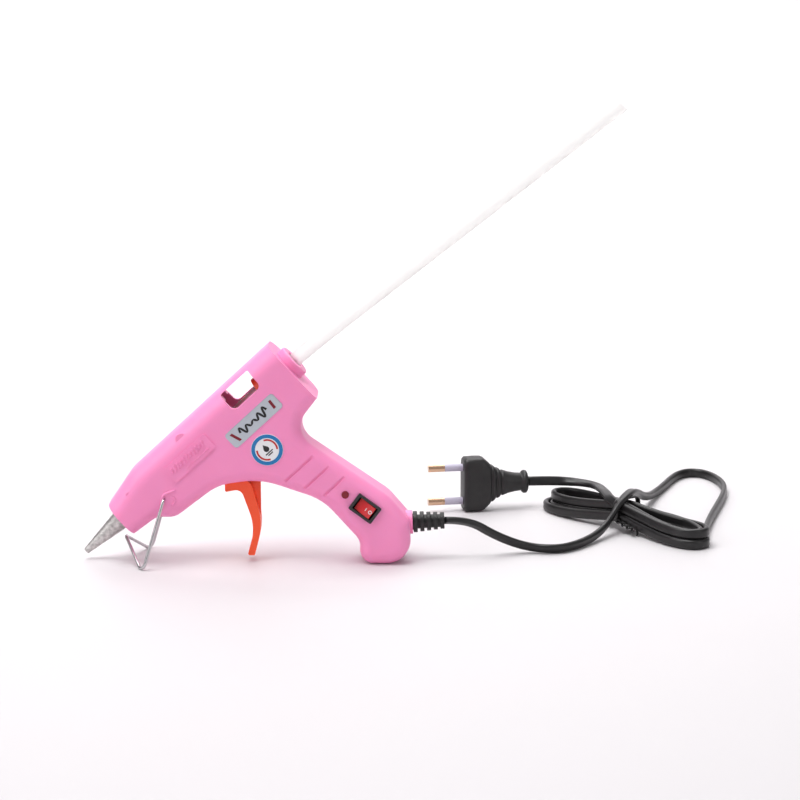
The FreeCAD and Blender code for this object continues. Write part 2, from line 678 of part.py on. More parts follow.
def make_heat_shield():
    # a sheet of mica bent over the chamber, open below where the heater block hangs
    body = new_body("heat_shield", barrel_place)
    outer = cell("shield_radius")
    inner = outer - cell("shield_thickness")
    turned(body, "Turned", [
        (cell("shield_front"), inner, 0), (cell("shield_front"), outer, 0),
        (cell("shield_rear"), outer, 0), (cell("shield_rear"), inner, 0),
    ])
    pocket(body, "OpenBelow", "YZ_Plane", cell("shield_front") - 1.0, cell("shield_rear") + 1.0,
           draw_rectangle, -outer - 1.0, outer + 1.0, -outer - 1.0, as_size(-2.0))


def make_sleeve():
    body = new_body("inlet_sleeve", barrel_place)
    neck_end = cell("chamber_rear") + cell("chamber_neck")
    turned(body, "Turned", [
        (cell("chamber_rear") + 0.2, cell("chamber_neck_radius"), 0),
        (cell("chamber_rear") + 0.2, cell("sleeve_radius"), 0.3),
        (cell("sleeve_rear"), cell("sleeve_radius"), 0.6),
        (cell("sleeve_rear"), cell("melt_bore"), 0.6), (neck_end, cell("melt_bore"), 0),
        (neck_end, cell("chamber_neck_radius"), 0),
    ])
    body = new_body("sleeve_clip", barrel_place)
    start = cell("chamber_rear") + 1.4
    outer = cell("sleeve_radius") + cell("clip_thickness")
    turned(body, "Turned", [
        (start, cell("sleeve_radius"), 0), (start, outer, 0.2), (start + cell("clip_width"), outer, 0.2),
        (start + cell("clip_width"), cell("sleeve_radius"), 0),
    ])


make_nozzle()
make_chamber()
make_heater()
make_front_insulator()
make_heat_shield()
make_sleeve()


# ---- feed ----

def make_collar():
    body = new_body("inlet_collar", barrel_place)
    bore = cell("collar_bore")
    inside = rear - cell("wall") - fit
    start = inside - cell("collar_lip_height")
    end = rear + cell("collar_height")
    turned(body, "Turned", [
        (start, bore, 0), (start, cell("collar_lip"), 0.4), (inside, cell("collar_lip"), 0.3),
        (inside, cell("collar_neck"), 0), (rear + fit, cell("collar_neck"), 0),
        (rear + fit, cell("collar_radius"), 0), (end, cell("collar_radius"), 0.8), (end, bore, 0.8),
    ])


def make_stick():
    start = float(cell("stick_front"))
    bend = float(cell("stick_bend_radius"))
    angle = math.radians(float(cell("stick_bend_angle")))
    corner = start + float(cell("stick_straight")) + bend * math.tan(angle / 2)
    rest = float(cell("stick_length")) - float(cell("stick_straight")) - bend * angle
    rest += bend * math.tan(angle / 2)
    points = [(start, 0, 0, 0), (corner, 0, 0, bend),
              (corner + rest * math.cos(angle), 0, -rest * math.sin(angle), 0)]
    tube_along("glue_stick", points, float(cell("stick_diameter")) / 2, barrel_place)


def make_carriage():
    body = new_body("feed_carriage", barrel_place)
    front = cell("carriage_front")
    end = front + cell("carriage_length")
    pad(body, "Ring", "YZ_Plane", front, end, draw_circle, 0, 0, cell("carriage_radius"))
    rail = cell("carriage_rail_half")
    tall = cell("rail_height") / 2
    pad(body, "Rails", "YZ_Plane", front, end, draw_rectangle, -rail, rail, -tall, tall)
    tongue = cell("tongue_half")
    pad(body, "Tongue", "YZ_Plane", cell("tongue_front"), end, draw_rectangle, -tongue, tongue,
        cell("tongue_floor"), cell("tongue_top"))
    pad(body, "SpringLug", "YZ_Plane", front, front + 3.0, draw_rectangle, -tongue, tongue,
        cell("spring_height") - 2.4, cell("tongue_floor") + 0.2)
    pocket(body, "StickBore", "YZ_Plane", cell("tongue_front") - 1.0, end + 1.0, draw_circle, 0, 0,
           cell("stick_diameter") / 2 + 0.5)
    nub = cell("arm_nub") + gap + cell("arm_play")
    rest = pivot_along + cell("arm_reach") * math.sin(math.radians(float(cell("trigger_swing")) / 2))
    pocket(body, "ArmSlot", "XY_Plane", cell("tongue_floor") - 1.0, cell("tongue_top") + 1.0,
           draw_rectangle, rest - nub, rest + nub, -(cell("arm_half") + gap), cell("arm_half") + gap)
    claw = cell("claw_thickness") / 2
    pocket(body, "ClawSlot", "XY_Plane", cell("tongue_top") - 0.2, as_size(0.0), draw_rectangle,
           front + 3.0, front + 3.0 + cell("claw_length"), -claw, claw)


def make_claw():
    # a steel tooth under the stick that bites it on the forward stroke
    body = new_body("grip_claw", barrel_place)
    start = cell("carriage_front") + 3.0 + fit
    end = start + cell("claw_length") - fit * 2
    floor = cell("tongue_top") - 0.15
    tip = -(cell("stick_diameter") / 2) - 0.1
    claw = cell("claw_thickness") / 2 - fit
    pad(body, "Tooth", "XZ_Plane", -claw, claw, draw_outline,
        [(start, floor, 0), (end, floor, 0), (end, tip, 0.3), (end - 1.4, tip, 0), (start, floor + 0.8, 0)])


def make_spring():
    wire = cell("spring_wire") / 2
    start = cell("spring_post") + cell("post_thickness") + fit + wire
    finish = cell("carriage_front") - fit - wire
    pitch = (finish - start) / cell("spring_coils")
    helix = Part.makeHelix(float(pitch), float(finish - start), float(cell("spring_radius")))
    begin = helix.Edges[0].valueAt(helix.Edges[0].FirstParameter)
    heading = helix.Edges[0].tangentAt(helix.Edges[0].FirstParameter)
    section = Part.Wire([Part.Circle(begin, heading, float(wire)).toShape()])
    spring = doc.addObject("Part::Feature", "return_spring")
    spring.Label = "return_spring"
    spring.Shape = Part.Wire(helix.Edges).makePipeShell([section], True, True)
    inner = Placement(Vector(float(start), 0, float(cell("spring_height"))),
                      Rotation(Vector(0, 1, 0), 90))
    spring.Placement = barrel_place.multiply(inner)


make_collar()
make_stick()
make_carriage()
make_claw()
make_spring()


# ---- trigger ----

def make_trigger():
    body = new_body("trigger")
    x = float(cell("pivot_x"))
    z = float(cell("pivot_height"))
    wide = cell("trigger_half")
    top = float(cell("trigger_top_x"))
    foot = float(cell("trigger_foot_x"))
    foot_z = float(cell("trigger_foot_height"))
    thick = float(cell("blade_thickness"))
    pad(body, "Hub", "XZ_Plane", -wide, wide, draw_circle, cell("pivot_x"), cell("pivot_height"),
        cell("hub_radius"))
    blade = [
        (top, z - 5.6, 0), (top, z - 13.6, 0.8), (foot - 3.4, z - 12.0, 4.0), (foot + 3.6, 18.0, 26.0),
        (foot - 0.4, foot_z, 0.9), (foot + thick - 0.8, foot_z, 0.9),
        (foot + thick + 3.4, 20.0, 30.0), (foot + 1.4, z - 7.6, 6.0),
    ]
    pad(body, "Blade", "XZ_Plane", -wide, wide, draw_outline, blade)
    web = cell("trigger_web_half")
    back = x + 8.4
    pad(body, "Web", "XZ_Plane", -web, web, draw_outline, [
        (x - 6.0, z - 8.0, 0), (foot + 4.5, 32.0, 0), (foot + 4.6, 13.0, 0), (back - 1.0, 15.0, 0),
        (back, 24.0, 2), (back, z - 6.0, 1.0), (x + 3.0, z, 0), (x - 3.0, z, 0),
    ])
    lean = math.radians(float(cell("barrel_tilt")) + 90 - float(cell("trigger_swing")) / 2)
    tip = float(cell("arm_tip"))
    ahead = Vector(math.cos(lean), math.sin(lean), 0)
    across = Vector(-ahead.y, ahead.x, 0)
    hub = Vector(x, z, 0)
    nub = float(cell("arm_nub"))
    arm = [hub - across * 2.4, hub + across * 2.4, hub + ahead * tip + across * nub,
           hub + ahead * tip - across * nub]
    arm_half = cell("arm_half")
    pad(body, "Arm", "XZ_Plane", -arm_half, arm_half, draw_outline, [
        (arm[0].x, arm[0].y, 0), (arm[3].x, arm[3].y, nub * 0.9), (arm[2].x, arm[2].y, nub * 0.9),
        (arm[1].x, arm[1].y, 0),
    ])
    pocket(body, "PinHole", "XZ_Plane", -wide - 1.0, wide + 1.0, draw_circle, cell("pivot_x"),
           cell("pivot_height"), cell("pin_radius") + fit)
    return body


def bar(label, radius, length, place):
    # a plain round bar along its own Z
    piece = doc.addObject("Part::Cylinder", label)
    piece.Label = label
    piece.setExpression("Radius", as_size(radius).formula)
    piece.setExpression("Height", as_size(length).formula)
    piece.Placement = place
    return piece


across_y = Rotation(Vector(1, 0, 0), -90)
make_trigger()
pin_length = cell("pin_length") - 1.0
bar("trigger_pin", cell("pin_radius"), pin_length,
    Placement(Vector(float(cell("pivot_x")), -float(pin_length) / 2, float(cell("pivot_height"))),
              across_y))


# ---- stand ----

def make_stand():
    pivot_x = cell("stand_pivot_x")
    height = cell("stand_pivot_height")
    leg = cell("stand_leg_half")
    foot = cell("stand_foot_half")
    radius = float(cell("stand_wire_radius"))
    corner = radius - float(cell("stand_foot_drop"))
    points = [(pivot_x, -cell("stand_pin_inner"), height, 0), (pivot_x, -leg, height, 1.8),
              (cell("stand_foot_x"), -foot, corner, 3.0),
              (cell("stand_apex_x"), 0.0, cell("stand_apex_height"), 2.2),
              (cell("stand_foot_x"), foot, corner, 3.0), (pivot_x, leg, height, 1.8),
              (pivot_x, cell("stand_pin_inner"), height, 0)]
    tube_along("stand_wire", points, radius)


make_stand()


# ---- marks, switch and lamp ----

def make_marks():
    length = cell("plate_length") / 2
    width = cell("plate_width") / 2
    middle = cell("plate_middle")
    above = cell("plate_above")
    body = new_body("name_plate", barrel_place)
    pad(body, "Plate", "XZ_Plane", -(half + cell("plate_thickness")), -half, draw_outline, [
        (middle - length, above - width, 0.4), (middle + length, above - width, 0.4),
        (middle + length, above + width, 0.4), (middle - length, above + width, 0.4)])
    body = new_body("round_badge", barrel_place)
    along, up = to_barrel(cell("badge_x"), cell("badge_height"))
    pad(body, "Badge", "XZ_Plane", -(half + cell("plate_thickness")), -half, draw_circle, along, up,
        cell("badge_radius"))


def make_switch():
    x = float(cell("switch_x"))
    z = float(cell("switch_height"))
    place = Placement(Vector(x, -float(half), z), Rotation(Vector(0, 1, 0), -cell("switch_tilt").number))
    body = new_body("switch_frame", place)
    length = cell("bezel_length") / 2
    width = cell("bezel_width") / 2
    pad(body, "Bezel", "XZ_Plane", -cell("bezel_height"), as_size(-fit), draw_outline, [
        (-length, -width, 0.6), (length, -width, 0.6), (length, width, 0.6), (-length, width, 0.6)])
    long_side = cell("switch_body_length") / 2
    short_side = cell("switch_body_width") / 2
    depth = cell("switch_body_depth")
    pad(body, "Case", "XZ_Plane", as_size(-fit), depth, draw_rectangle, -long_side, long_side,
        -short_side, short_side)
    rocker = cell("rocker_length") / 2 + gap
    narrow = cell("rocker_width") / 2 + gap
    pocket(body, "Well", "XZ_Plane", -cell("bezel_height") - 1.0, depth - 2.6, draw_rectangle,
           -rocker, rocker, -narrow, narrow)
    axle = cell("rocker_axle_radius")
    pocket(body, "AxleHole", "XY_Plane", -short_side - 1.0, short_side + 1.0, draw_circle, 0,
           cell("rocker_axle_height"), axle + fit)
    body = new_body("switch_rocker", place)
    reach = cell("rocker_length") / 2
    thin = cell("rocker_width") / 2
    dish = float(cell("bezel_height"))
    sketch = new_sketch(body, "RockerSketch", "XY_Plane", -thin)
    lift = math.radians(float(cell("rocker_swing")) / 2)
    rise = float(reach) * math.tan(lift)
    top = -(dish + 0.3)
    draw_outline(sketch, [
        (-reach + 0.6, top + rise + 1.2, 0.5), (0.0, top + 0.6, 12.0), (reach - 0.6, top - rise + 1.0, 0.5),
        (reach - 0.9, 0.6, 0.5), (1.6, 4.6, 0.8), (-1.6, 4.6, 0.8), (-reach + 0.9, 1.6, 0.5)])
    feature = body.newObject("PartDesign::Pad", "Rocker")
    finish_feature(body, feature, sketch, thin * 2)
    pad(body, "Axle", "XY_Plane", -short_side, short_side, draw_circle, 0, cell("rocker_axle_height"), axle)
    terminals = new_body("switch_terminals", place)
    blade = cell("terminal_width") / 2
    thick = cell("terminal_thickness") / 2
    for number, spot in enumerate((-3.2, 3.2)):
        pad(terminals, f"Blade{number}", "XZ_Plane", depth, depth + cell("terminal_length"),
            draw_rectangle, spot - thick, spot + thick, -blade, blade)


def make_lamp():
    along, above = to_barrel(cell("lamp_x"), cell("lamp_height"))
    body = new_body("lamp_lens", barrel_place)
    pad(body, "Barrel", "XZ_Plane", -(half + 0.9), -(half - cell("lamp_length")), draw_circle, along,
        above, cell("lamp_radius"))
    body = new_body("lamp_resistor", barrel_place)
    start = -(half - cell("lamp_length"))
    pad(body, "Resistor", "XZ_Plane", start, start + 6.0, draw_circle, along, above, as_size(1.1))


make_marks()
make_switch()
make_lamp()


# ---- mains lead inside and outside the handle ----

mouth_place = Placement(Vector(float(cell("cord_mouth_x")), 0, float(cell("cord_mouth_height"))),
                        Rotation(Vector(0, 1, 0), -cell("cord_mouth_tilt").number))


def make_grommet():
    # flange in the housing's groove, then rings that thin towards the free end
    body = new_body("cord_grommet", mouth_place)
    bore = cell("cord_radius") + 0.1
    neck = cell("mouth_bore") - fit
    flange = cell("grommet_flange_radius") - 0.3
    length = float(cell("grommet_length"))
    rings = int(cell("grommet_rings").number)
    pitch = length / rings
    profile = [(-5.5, bore, 0), (-5.5, neck, 0.4), (-3.1, neck, 0), (-3.1, flange, 0),
               (-1.7, flange, 0), (-1.7, neck, 0), (0.3, neck, 0)]
    first = float(cell("grommet_ring_radius"))
    last = float(cell("grommet_tip_radius"))
    core = float(cell("grommet_core_radius"))
    for number in range(rings):
        outer = first + (last - first) * number / (rings - 1)
        start = 0.3 + pitch * number
        profile += [(start, outer, 0.3), (start + pitch * 0.62, outer, 0.3)]
        if number < rings - 1:
            inner = core + (last - first) * 0.3 * number / (rings - 1)
            profile += [(start + pitch * 0.62, inner, 0), (start + pitch, inner, 0)]
    end = 0.3 + pitch * (rings - 1) + pitch * 0.62
    profile.append((end, bore, 0))
    turned(body, "Rings", profile)
    return end


def make_cord_clamp():
    # a bridge over the lead, held by two screws
    inside = -14.5
    body = new_body("cord_clamp", mouth_place)
    radius = cell("cord_radius")
    pad(body, "Bridge", "YZ_Plane", as_size(inside), as_size(inside + 4.0), draw_rectangle,
        as_size(-7.5), as_size(7.5), radius, radius + 2.0)
    for number, spot in enumerate((-5.5, 5.5)):
        pocket(body, f"Hole{number}", "XY_Plane", as_size(0.0), radius + 3.0, draw_circle,
               as_size(inside + 2.0), as_size(spot), as_size(1.2))
    heads = new_body("clamp_screws", mouth_place)
    for number, spot in enumerate((-5.5, 5.5)):
        pad(heads, f"Shank{number}", "XY_Plane", as_size(-3.0), radius + 2.0, draw_circle,
            as_size(inside + 2.0), as_size(spot), as_size(1.1))
        pad(heads, f"Head{number}", "XY_Plane", radius + 2.0, radius + 3.2, draw_circle,
            as_size(inside + 2.0), as_size(spot), as_size(2.0))
    base = new_body("clamp_base", mouth_place)
    pad(base, "Base", "YZ_Plane", as_size(inside), as_size(inside + 4.0), draw_rectangle,
        as_size(-7.5), as_size(7.5), as_size(-4.2), -radius)
    for number, spot in enumerate((-5.5, 5.5)):
        pocket(base, f"Hole{number}", "XY_Plane", as_size(-5.0), as_size(0.0), draw_circle,
               as_size(inside + 2.0), as_size(spot), as_size(1.15))


def make_screws():
    body = new_body("housing_screws", barrel_place)
    seat = cell("screw_length") - (half - 2.6)
    for number, (along, above) in enumerate(screw_places):
        pad(body, f"Shank{number}", "XZ_Plane", -(half - 2.6), seat, draw_circle, along, above,
            cell("screw_radius"))
        pad(body, f"Head{number}", "XZ_Plane", seat, seat + cell("screw_head_height"), draw_circle,
            along, above, cell("screw_head_radius"))


grommet_end = make_grommet()
make_cord_clamp()
make_screws()


def make_wires():
    # one conductor straight to the heater, one by way of the switch
    radius = float(cell("wire_radius"))
    neutral = [(118.6, 1.0, -90.4, 0), (120.0, 6.5, -81.0, 4), (122.0, 8.4, -64.0, 8),
               (117.0, 8.4, -44.0, 10), (108.0, 8.4, -25.0, 10), (97.0, 8.4, -17.0, 6),
               (84.0, 8.4, -10.4, 4), (74.5, 6.0, -9.4, 2), (70.2, 3.0, -9.2, 0)]
    tube_along("wire_neutral", neutral, radius, barrel_place)
    live = [(118.6, -1.0, -90.4, 0), (118.0, 0.5, -86.0, 2), (118.5, 3.4, -82.5, 1.5),
            (119.5, 3.6, -80.5, 0)]
    tube_along("wire_live", live, radius, barrel_place)
    heater = [(122.6, 3.6, -73.0, 0), (121.4, 4.8, -64.0, 4), (115.6, 6.2, -44.0, 10),
              (107.0, 6.6, -24.0, 10), (97.8, 8.4, -14.8, 6), (84.0, 8.4, -8.4, 6),
              (74.0, 7.4, -7.6, 2), (71.2, 6.8, -7.8, 0)]
    tube_along("wire_heater", heater, radius, barrel_place)


def make_cord():
    radius = float(cell("cord_radius"))
    floor = radius + 0.1
    inner = 16.0
    start = mouth_place.multVec(Vector(-inner, 0, 0))
    finish = mouth_place.multVec(Vector(grommet_end, 0, 0))
    bar("cord_inside", cell("cord_radius"), as_size(inner + grommet_end),
        Placement(start, Rotation(Vector(0, 1, 0), 90 - float(cell("cord_mouth_tilt")))))
    lead = [(finish.x, finish.y, finish.z), (60.0, 0.6, 20.4), (74.0, 6.0, 9.5), (90.0, 12.0, floor),
            (106.0, 8.5, floor), (118.5, 19.5, floor), (128.0, 37.0, 2.3), (136.6, 56.6, 4.6)]
    loop = [(143.6, 77.0, 4.6), (153.5, 96.0, 2.3), (165.4, 121.2, floor), (176.0, 141.0, floor),
            (181.5, 155.0, floor), (186.0, 167.0, floor), (191.6, 171.6, floor), (198.8, 172.7, floor),
            (205.5, 170.1, floor), (210.1, 164.5, floor), (211.2, 157.3, floor), (209.3, 144.0, floor),
            (205.0, 121.0, floor), (199.5, 97.0, floor), (193.0, 72.0, floor), (187.5, 51.0, floor),
            (185.1, 33.5, floor)]
    neck = plug_place.multVec(Vector(-float(cell("plug_length")), 0, 0))
    tail = [(neck.x, neck.y, neck.z), (106.0, 105.2, 14.9), (119.0, 107.8, 12.4), (131.0, 104.5, 8.8),
            (138.5, 96.0, 6.4), (141.6, 83.4, 5.6)]
    total = 0
    for label, points in (("cord_lead", lead), ("cord_loop", loop), ("cord_tail", tail)):
        route, radii = with_radii(points)
        tube, length = tube_along(label, route, radius)
        total += length
        print(label, f"length {length:.1f} radii", " ".join(f"{r:.1f}" for r in radii))
    print(f"cord outside the hank {total:.1f}")


def with_radii(points):
    # each arc takes 0.45 of its shorter run
    places = [Vector(*point) for point in points]
    route = [(*points[0], 0)]
    radii = []
    for before, place, after in zip(places, places[1:], places[2:]):
        back = before - place
        ahead = after - place
        turn = math.pi - back.getAngle(ahead)
        radius = 0.45 * min(back.Length, ahead.Length) / math.tan(turn / 2)
        radii.append(radius)
        route.append((place.x, place.y, place.z, radius))
    route.append((*points[-1], 0))
    return route, radii


def make_hank():
    place = Placement(Vector(float(cell("hank_x")), float(cell("hank_y")), 0),
                      Rotation(Vector(0, 0, 1), cell("hank_turn").number))
    body = new_body("cord_hank", place)
    length = cell("hank_length") / 2
    width = cell("hank_width") / 2
    waist = cell("hank_waist") / 2
    round_end = float(width) - 0.5
    lobe = length / 2
    pad(body, "Hank", "XY_Plane", as_size(0.0), cell("hank_height"), draw_outline, [
        (-length, -width, round_end), (-lobe, -width, 30.0), (0.0, -waist, 20.0), (lobe, -width, 30.0),
        (length, -width, round_end), (length, width, round_end), (lobe, width, 30.0),
        (0.0, waist, 20.0), (-lobe, width, 30.0), (-length, width, round_end)])
    body = new_body("cord_tie", place)
    tie = cell("tie_width") / 2
    inner = waist + 0.8
    outer = inner + cell("tie_thickness")
    pad(body, "Band", "YZ_Plane", -tie, tie, draw_rectangle, -outer, outer, as_size(0.0),
        cell("hank_height") + fit + cell("tie_thickness"))
    pocket(body, "Inside", "YZ_Plane", -tie - 1.0, tie + 1.0, draw_rectangle, -inner, inner,
           as_size(-1.0), cell("hank_height") + fit)


plug_place = Placement(Vector(float(cell("plug_face_x")), float(cell("plug_face_y")),
                              float(cell("plug_height")) / 2),
                       Rotation(Vector(0, 0, 1), cell("plug_turn").number))


def make_plug():
    body = new_body("plug_body", plug_place)
    tall = cell("plug_height") / 2
    length = cell("plug_length")
    neck = cell("plug_neck_radius")
    thick = cell("plug_thickness") / 2
    pad(body, "Shell", "XZ_Plane", -thick, thick, draw_outline, [
        (as_size(0.0), -tall, 1.5), (as_size(0.0), tall, 1.5), (as_size(-12.0), tall, 8.0),
        (as_size(-25.0), neck, 8.0), (2.0 - length, neck, 0.0), (2.0 - length, -neck, 0.0),
        (as_size(-25.0), -neck, 8.0), (as_size(-12.0), -tall, 8.0)])
    pad(body, "Ring", "YZ_Plane", -length, 2.0 - length, draw_circle, 0, 0, neck + 1.0)
    spacing = cell("plug_pin_spacing") / 2
    pins = new_body("plug_pins", plug_place)
    sleeves = new_body("plug_pin_sleeves", plug_place)
    bare = cell("plug_sleeve_length")
    for number, side in enumerate((-1, 1)):
        height = spacing * side
        pad(pins, f"Tip{number}", "YZ_Plane", bare, cell("plug_pin_length"), draw_circle, 0, height,
            cell("plug_pin_radius"))
        pad(pins, f"Root{number}", "YZ_Plane", as_size(0.0), bare, draw_circle, 0, height,
            cell("plug_pin_radius") - 0.4)
        pad(sleeves, f"Sleeve{number}", "YZ_Plane", as_size(0.0), bare, draw_circle, 0, height,
            cell("plug_sleeve_radius"))
        pocket(sleeves, f"Bore{number}", "YZ_Plane", as_size(-1.0), bare + 1.0, draw_circle, 0,
               height, cell("plug_pin_radius") - 0.4)


make_wires()
make_cord()
make_hank()
make_plug()


# ---- check and write every sub-part ----

doc.recompute()
for item in doc.Objects:
    if "Invalid" in item.State or "Error" in item.State:
        raise RuntimeError(f"{item.Label}: {item.State}")
sub_parts = [item for item in doc.Objects if item.isDerivedFrom("PartDesign::Body")]
sub_parts += [item for item in doc.RootObjects if item.TypeId in ("Part::Feature", "Part::Cylinder")]
os.makedirs("parts", exist_ok=True)
for item in sub_parts:
    if item.Shape.isNull() or not item.Shape.isValid():
        raise RuntimeError(f"{item.Label}: no valid shape")
for item in sub_parts:
    item.Shape.exportStep(f"parts/{item.Label}.step")
print(len(sub_parts), "sub-parts written")
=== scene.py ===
import math

import bmesh
import bpy
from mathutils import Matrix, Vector


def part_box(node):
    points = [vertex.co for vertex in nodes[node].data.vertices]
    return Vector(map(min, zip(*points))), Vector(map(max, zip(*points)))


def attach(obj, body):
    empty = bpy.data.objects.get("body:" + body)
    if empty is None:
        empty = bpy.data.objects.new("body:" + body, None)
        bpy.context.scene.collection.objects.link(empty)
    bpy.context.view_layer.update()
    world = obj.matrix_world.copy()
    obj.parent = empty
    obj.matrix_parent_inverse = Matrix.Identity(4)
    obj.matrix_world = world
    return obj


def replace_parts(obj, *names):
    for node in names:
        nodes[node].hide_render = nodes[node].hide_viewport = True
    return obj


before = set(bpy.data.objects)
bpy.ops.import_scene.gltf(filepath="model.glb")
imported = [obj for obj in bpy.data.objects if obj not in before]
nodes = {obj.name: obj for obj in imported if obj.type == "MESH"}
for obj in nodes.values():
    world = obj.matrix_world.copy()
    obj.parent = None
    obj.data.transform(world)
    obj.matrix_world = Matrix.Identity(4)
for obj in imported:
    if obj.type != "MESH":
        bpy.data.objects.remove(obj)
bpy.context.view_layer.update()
mm = 0.001

# Everything below is in millimetres in the row frame and is scaled by mm when a mesh is made.


# camera, a long lens a little above the bench, square to the side with the switch
cameraLook = {
    "aim": (25.5, 0.0, 82.4), "distance": 1200.0, "lift": 12.0, "lens": 108.0, "sensor": 36.0,
    "farMetres": 20.0,
}


def placeCamera(look):
    lift = math.radians(look["lift"])
    back = Vector((0, -math.cos(lift), math.sin(lift)))
    data = bpy.data.cameras.new("camera")
    data.lens = look["lens"]
    data.sensor_width = look["sensor"]
    data.clip_end = look["farMetres"]
    camera = bpy.data.objects.new("camera", data)
    camera.location = (Vector(look["aim"]) + back * look["distance"]) * mm
    camera.rotation_mode = "QUATERNION"
    camera.rotation_quaternion = (-back).to_track_quat("-Z", "Y")
    bpy.context.scene.collection.objects.link(camera)
    bpy.context.scene.camera = camera


placeCamera(cameraLook)
bpy.context.scene.view_settings.view_transform = "Standard"
bpy.context.scene.view_settings.look = "None"
print("camera placed")


# shared shader node groups, and the noise that each of them is made from
noiseLook = {
    "driftDetail": 4.0, "driftMiddle": 0.35, "speckleFiner": 38.0, "speckleDetail": 2.0,
    "speckleRough": 0.7, "grainDetail": 3.0, "grainRough": 0.6, "waveDetail": 2.0, "patchScale": 130.0,
    "patchDetail": 5.0, "patchRough": 0.65, "speckScale": 2400.0, "speckDetail": 2.0, "speckRough": 0.8,
}


def newGroup(name, inputs, outputs):
    group = bpy.data.node_groups.new(name, "ShaderNodeTree")
    for label, kind, value in inputs:
        socket = group.interface.new_socket(name=label, in_out="INPUT", socket_type=kind)
        if value is not None:
            socket.default_value = value
    for label, kind in outputs:
        group.interface.new_socket(name=label, in_out="OUTPUT", socket_type=kind)
    return group, group.nodes.new("NodeGroupInput"), group.nodes.new("NodeGroupOutput")


def addMath(tree, operation, first, second, clamp=False):
    node = tree.nodes.new("ShaderNodeMath")
    node.operation = operation
    node.use_clamp = clamp
    for socket, value in zip(node.inputs, (first, second)):
        if hasattr(value, "links"):
            tree.links.new(value, socket)
        elif value is not None:
            socket.default_value = value
    return node.outputs[0]


def addNoise(tree, vector, scale, detail, roughness=0.5):
    node = tree.nodes.new("ShaderNodeTexNoise")
    tree.links.new(vector, node.inputs["Vector"])
    for label, value in (("Scale", scale), ("Detail", detail), ("Roughness", roughness)):
        if hasattr(value, "links"):
            tree.links.new(value, node.inputs[label])
        else:
            node.inputs[label].default_value = value
    return node


def makeDriftGroup():
    # slow colour variation, a little flow marking and fine speckle, as moulded plastic has
    group, start, end = newGroup("colourDrift", [
        ("Vector", "NodeSocketVector", None), ("Colour", "NodeSocketColor", (0.8, 0.8, 0.8, 1)),
        ("Shade", "NodeSocketColor", (0.6, 0.6, 0.6, 1)), ("Scale", "NodeSocketFloat", 60.0),
        ("Amount", "NodeSocketFloat", 0.3), ("Speckle", "NodeSocketFloat", 0.05),
    ], [("Colour", "NodeSocketColor")])
    slow = addNoise(group, start.outputs["Vector"], start.outputs["Scale"], noiseLook["driftDetail"])
    finer = addMath(group, "MULTIPLY", start.outputs["Scale"], noiseLook["speckleFiner"])
    fine = addNoise(group, start.outputs["Vector"], finer, noiseLook["speckleDetail"],
                    noiseLook["speckleRough"])
    above = addMath(group, "SUBTRACT", slow.outputs["Fac"], noiseLook["driftMiddle"])
    spread = addMath(group, "MULTIPLY", above, start.outputs["Amount"])
    dots = addMath(group, "MULTIPLY", addMath(group, "SUBTRACT", fine.outputs["Fac"], 0.5),
                   start.outputs["Speckle"])
    mix = group.nodes.new("ShaderNodeMix")
    mix.data_type = "RGBA"
    group.links.new(addMath(group, "ADD", spread, dots, clamp=True), mix.inputs["Factor"])
    group.links.new(start.outputs["Colour"], mix.inputs["A"])
    group.links.new(start.outputs["Shade"], mix.inputs["B"])
    group.links.new(mix.outputs["Result"], end.inputs["Colour"])
    return group


def makeGrainGroup():
    # height and gloss of a surface: fine grain over soft waviness
    group, start, end = newGroup("surfaceGrain", [
        ("Vector", "NodeSocketVector", None), ("Grain Scale", "NodeSocketFloat", 1500.0),
        ("Wave Scale", "NodeSocketFloat", 90.0), ("Wave", "NodeSocketFloat", 0.3),
        ("Roughness", "NodeSocketFloat", 0.4), ("Spread", "NodeSocketFloat", 0.08),
    ], [("Height", "NodeSocketFloat"), ("Roughness", "NodeSocketFloat")])
    grain = addNoise(group, start.outputs["Vector"], start.outputs["Grain Scale"],
                     noiseLook["grainDetail"], noiseLook["grainRough"])
    wave = addNoise(group, start.outputs["Vector"], start.outputs["Wave Scale"], noiseLook["waveDetail"])
    height = addMath(group, "ADD", grain.outputs["Fac"],
                     addMath(group, "MULTIPLY", wave.outputs["Fac"], start.outputs["Wave"]))
    gloss = addMath(group, "MULTIPLY", addMath(group, "SUBTRACT", wave.outputs["Fac"], 0.5),
                    start.outputs["Spread"])
    group.links.new(height, end.inputs["Height"])
    group.links.new(addMath(group, "ADD", start.outputs["Roughness"], gloss, clamp=True),
                    end.inputs["Roughness"])
    return group


def makeDustGroup():
    # pale dust and scuffs that gather in patches
    group, start, end = newGroup("dustFilm", [
        ("Vector", "NodeSocketVector", None), ("Colour", "NodeSocketColor", (0.5, 0.5, 0.5, 1)),
        ("Dust", "NodeSocketColor", (0.6, 0.58, 0.55, 1)), ("Amount", "NodeSocketFloat", 0.1),
    ], [("Colour", "NodeSocketColor")])
    patch = addNoise(group, start.outputs["Vector"], noiseLook["patchScale"],
                     noiseLook["patchDetail"], noiseLook["patchRough"])
    speck = addNoise(group, start.outputs["Vector"], noiseLook["speckScale"],
                     noiseLook["speckDetail"], noiseLook["speckRough"])
    mask = addMath(group, "MULTIPLY", patch.outputs["Fac"], speck.outputs["Fac"])
    mask = addMath(group, "MULTIPLY", mask, start.outputs["Amount"], clamp=True)
    mix = group.nodes.new("ShaderNodeMix")
    mix.data_type = "RGBA"
    group.links.new(mask, mix.inputs["Factor"])
    group.links.new(start.outputs["Colour"], mix.inputs["A"])
    group.links.new(start.outputs["Dust"], mix.inputs["B"])
    group.links.new(mix.outputs["Result"], end.inputs["Colour"])
    return group


driftGroup = makeDriftGroup()
grainGroup = makeGrainGroup()
dustGroup = makeDustGroup()


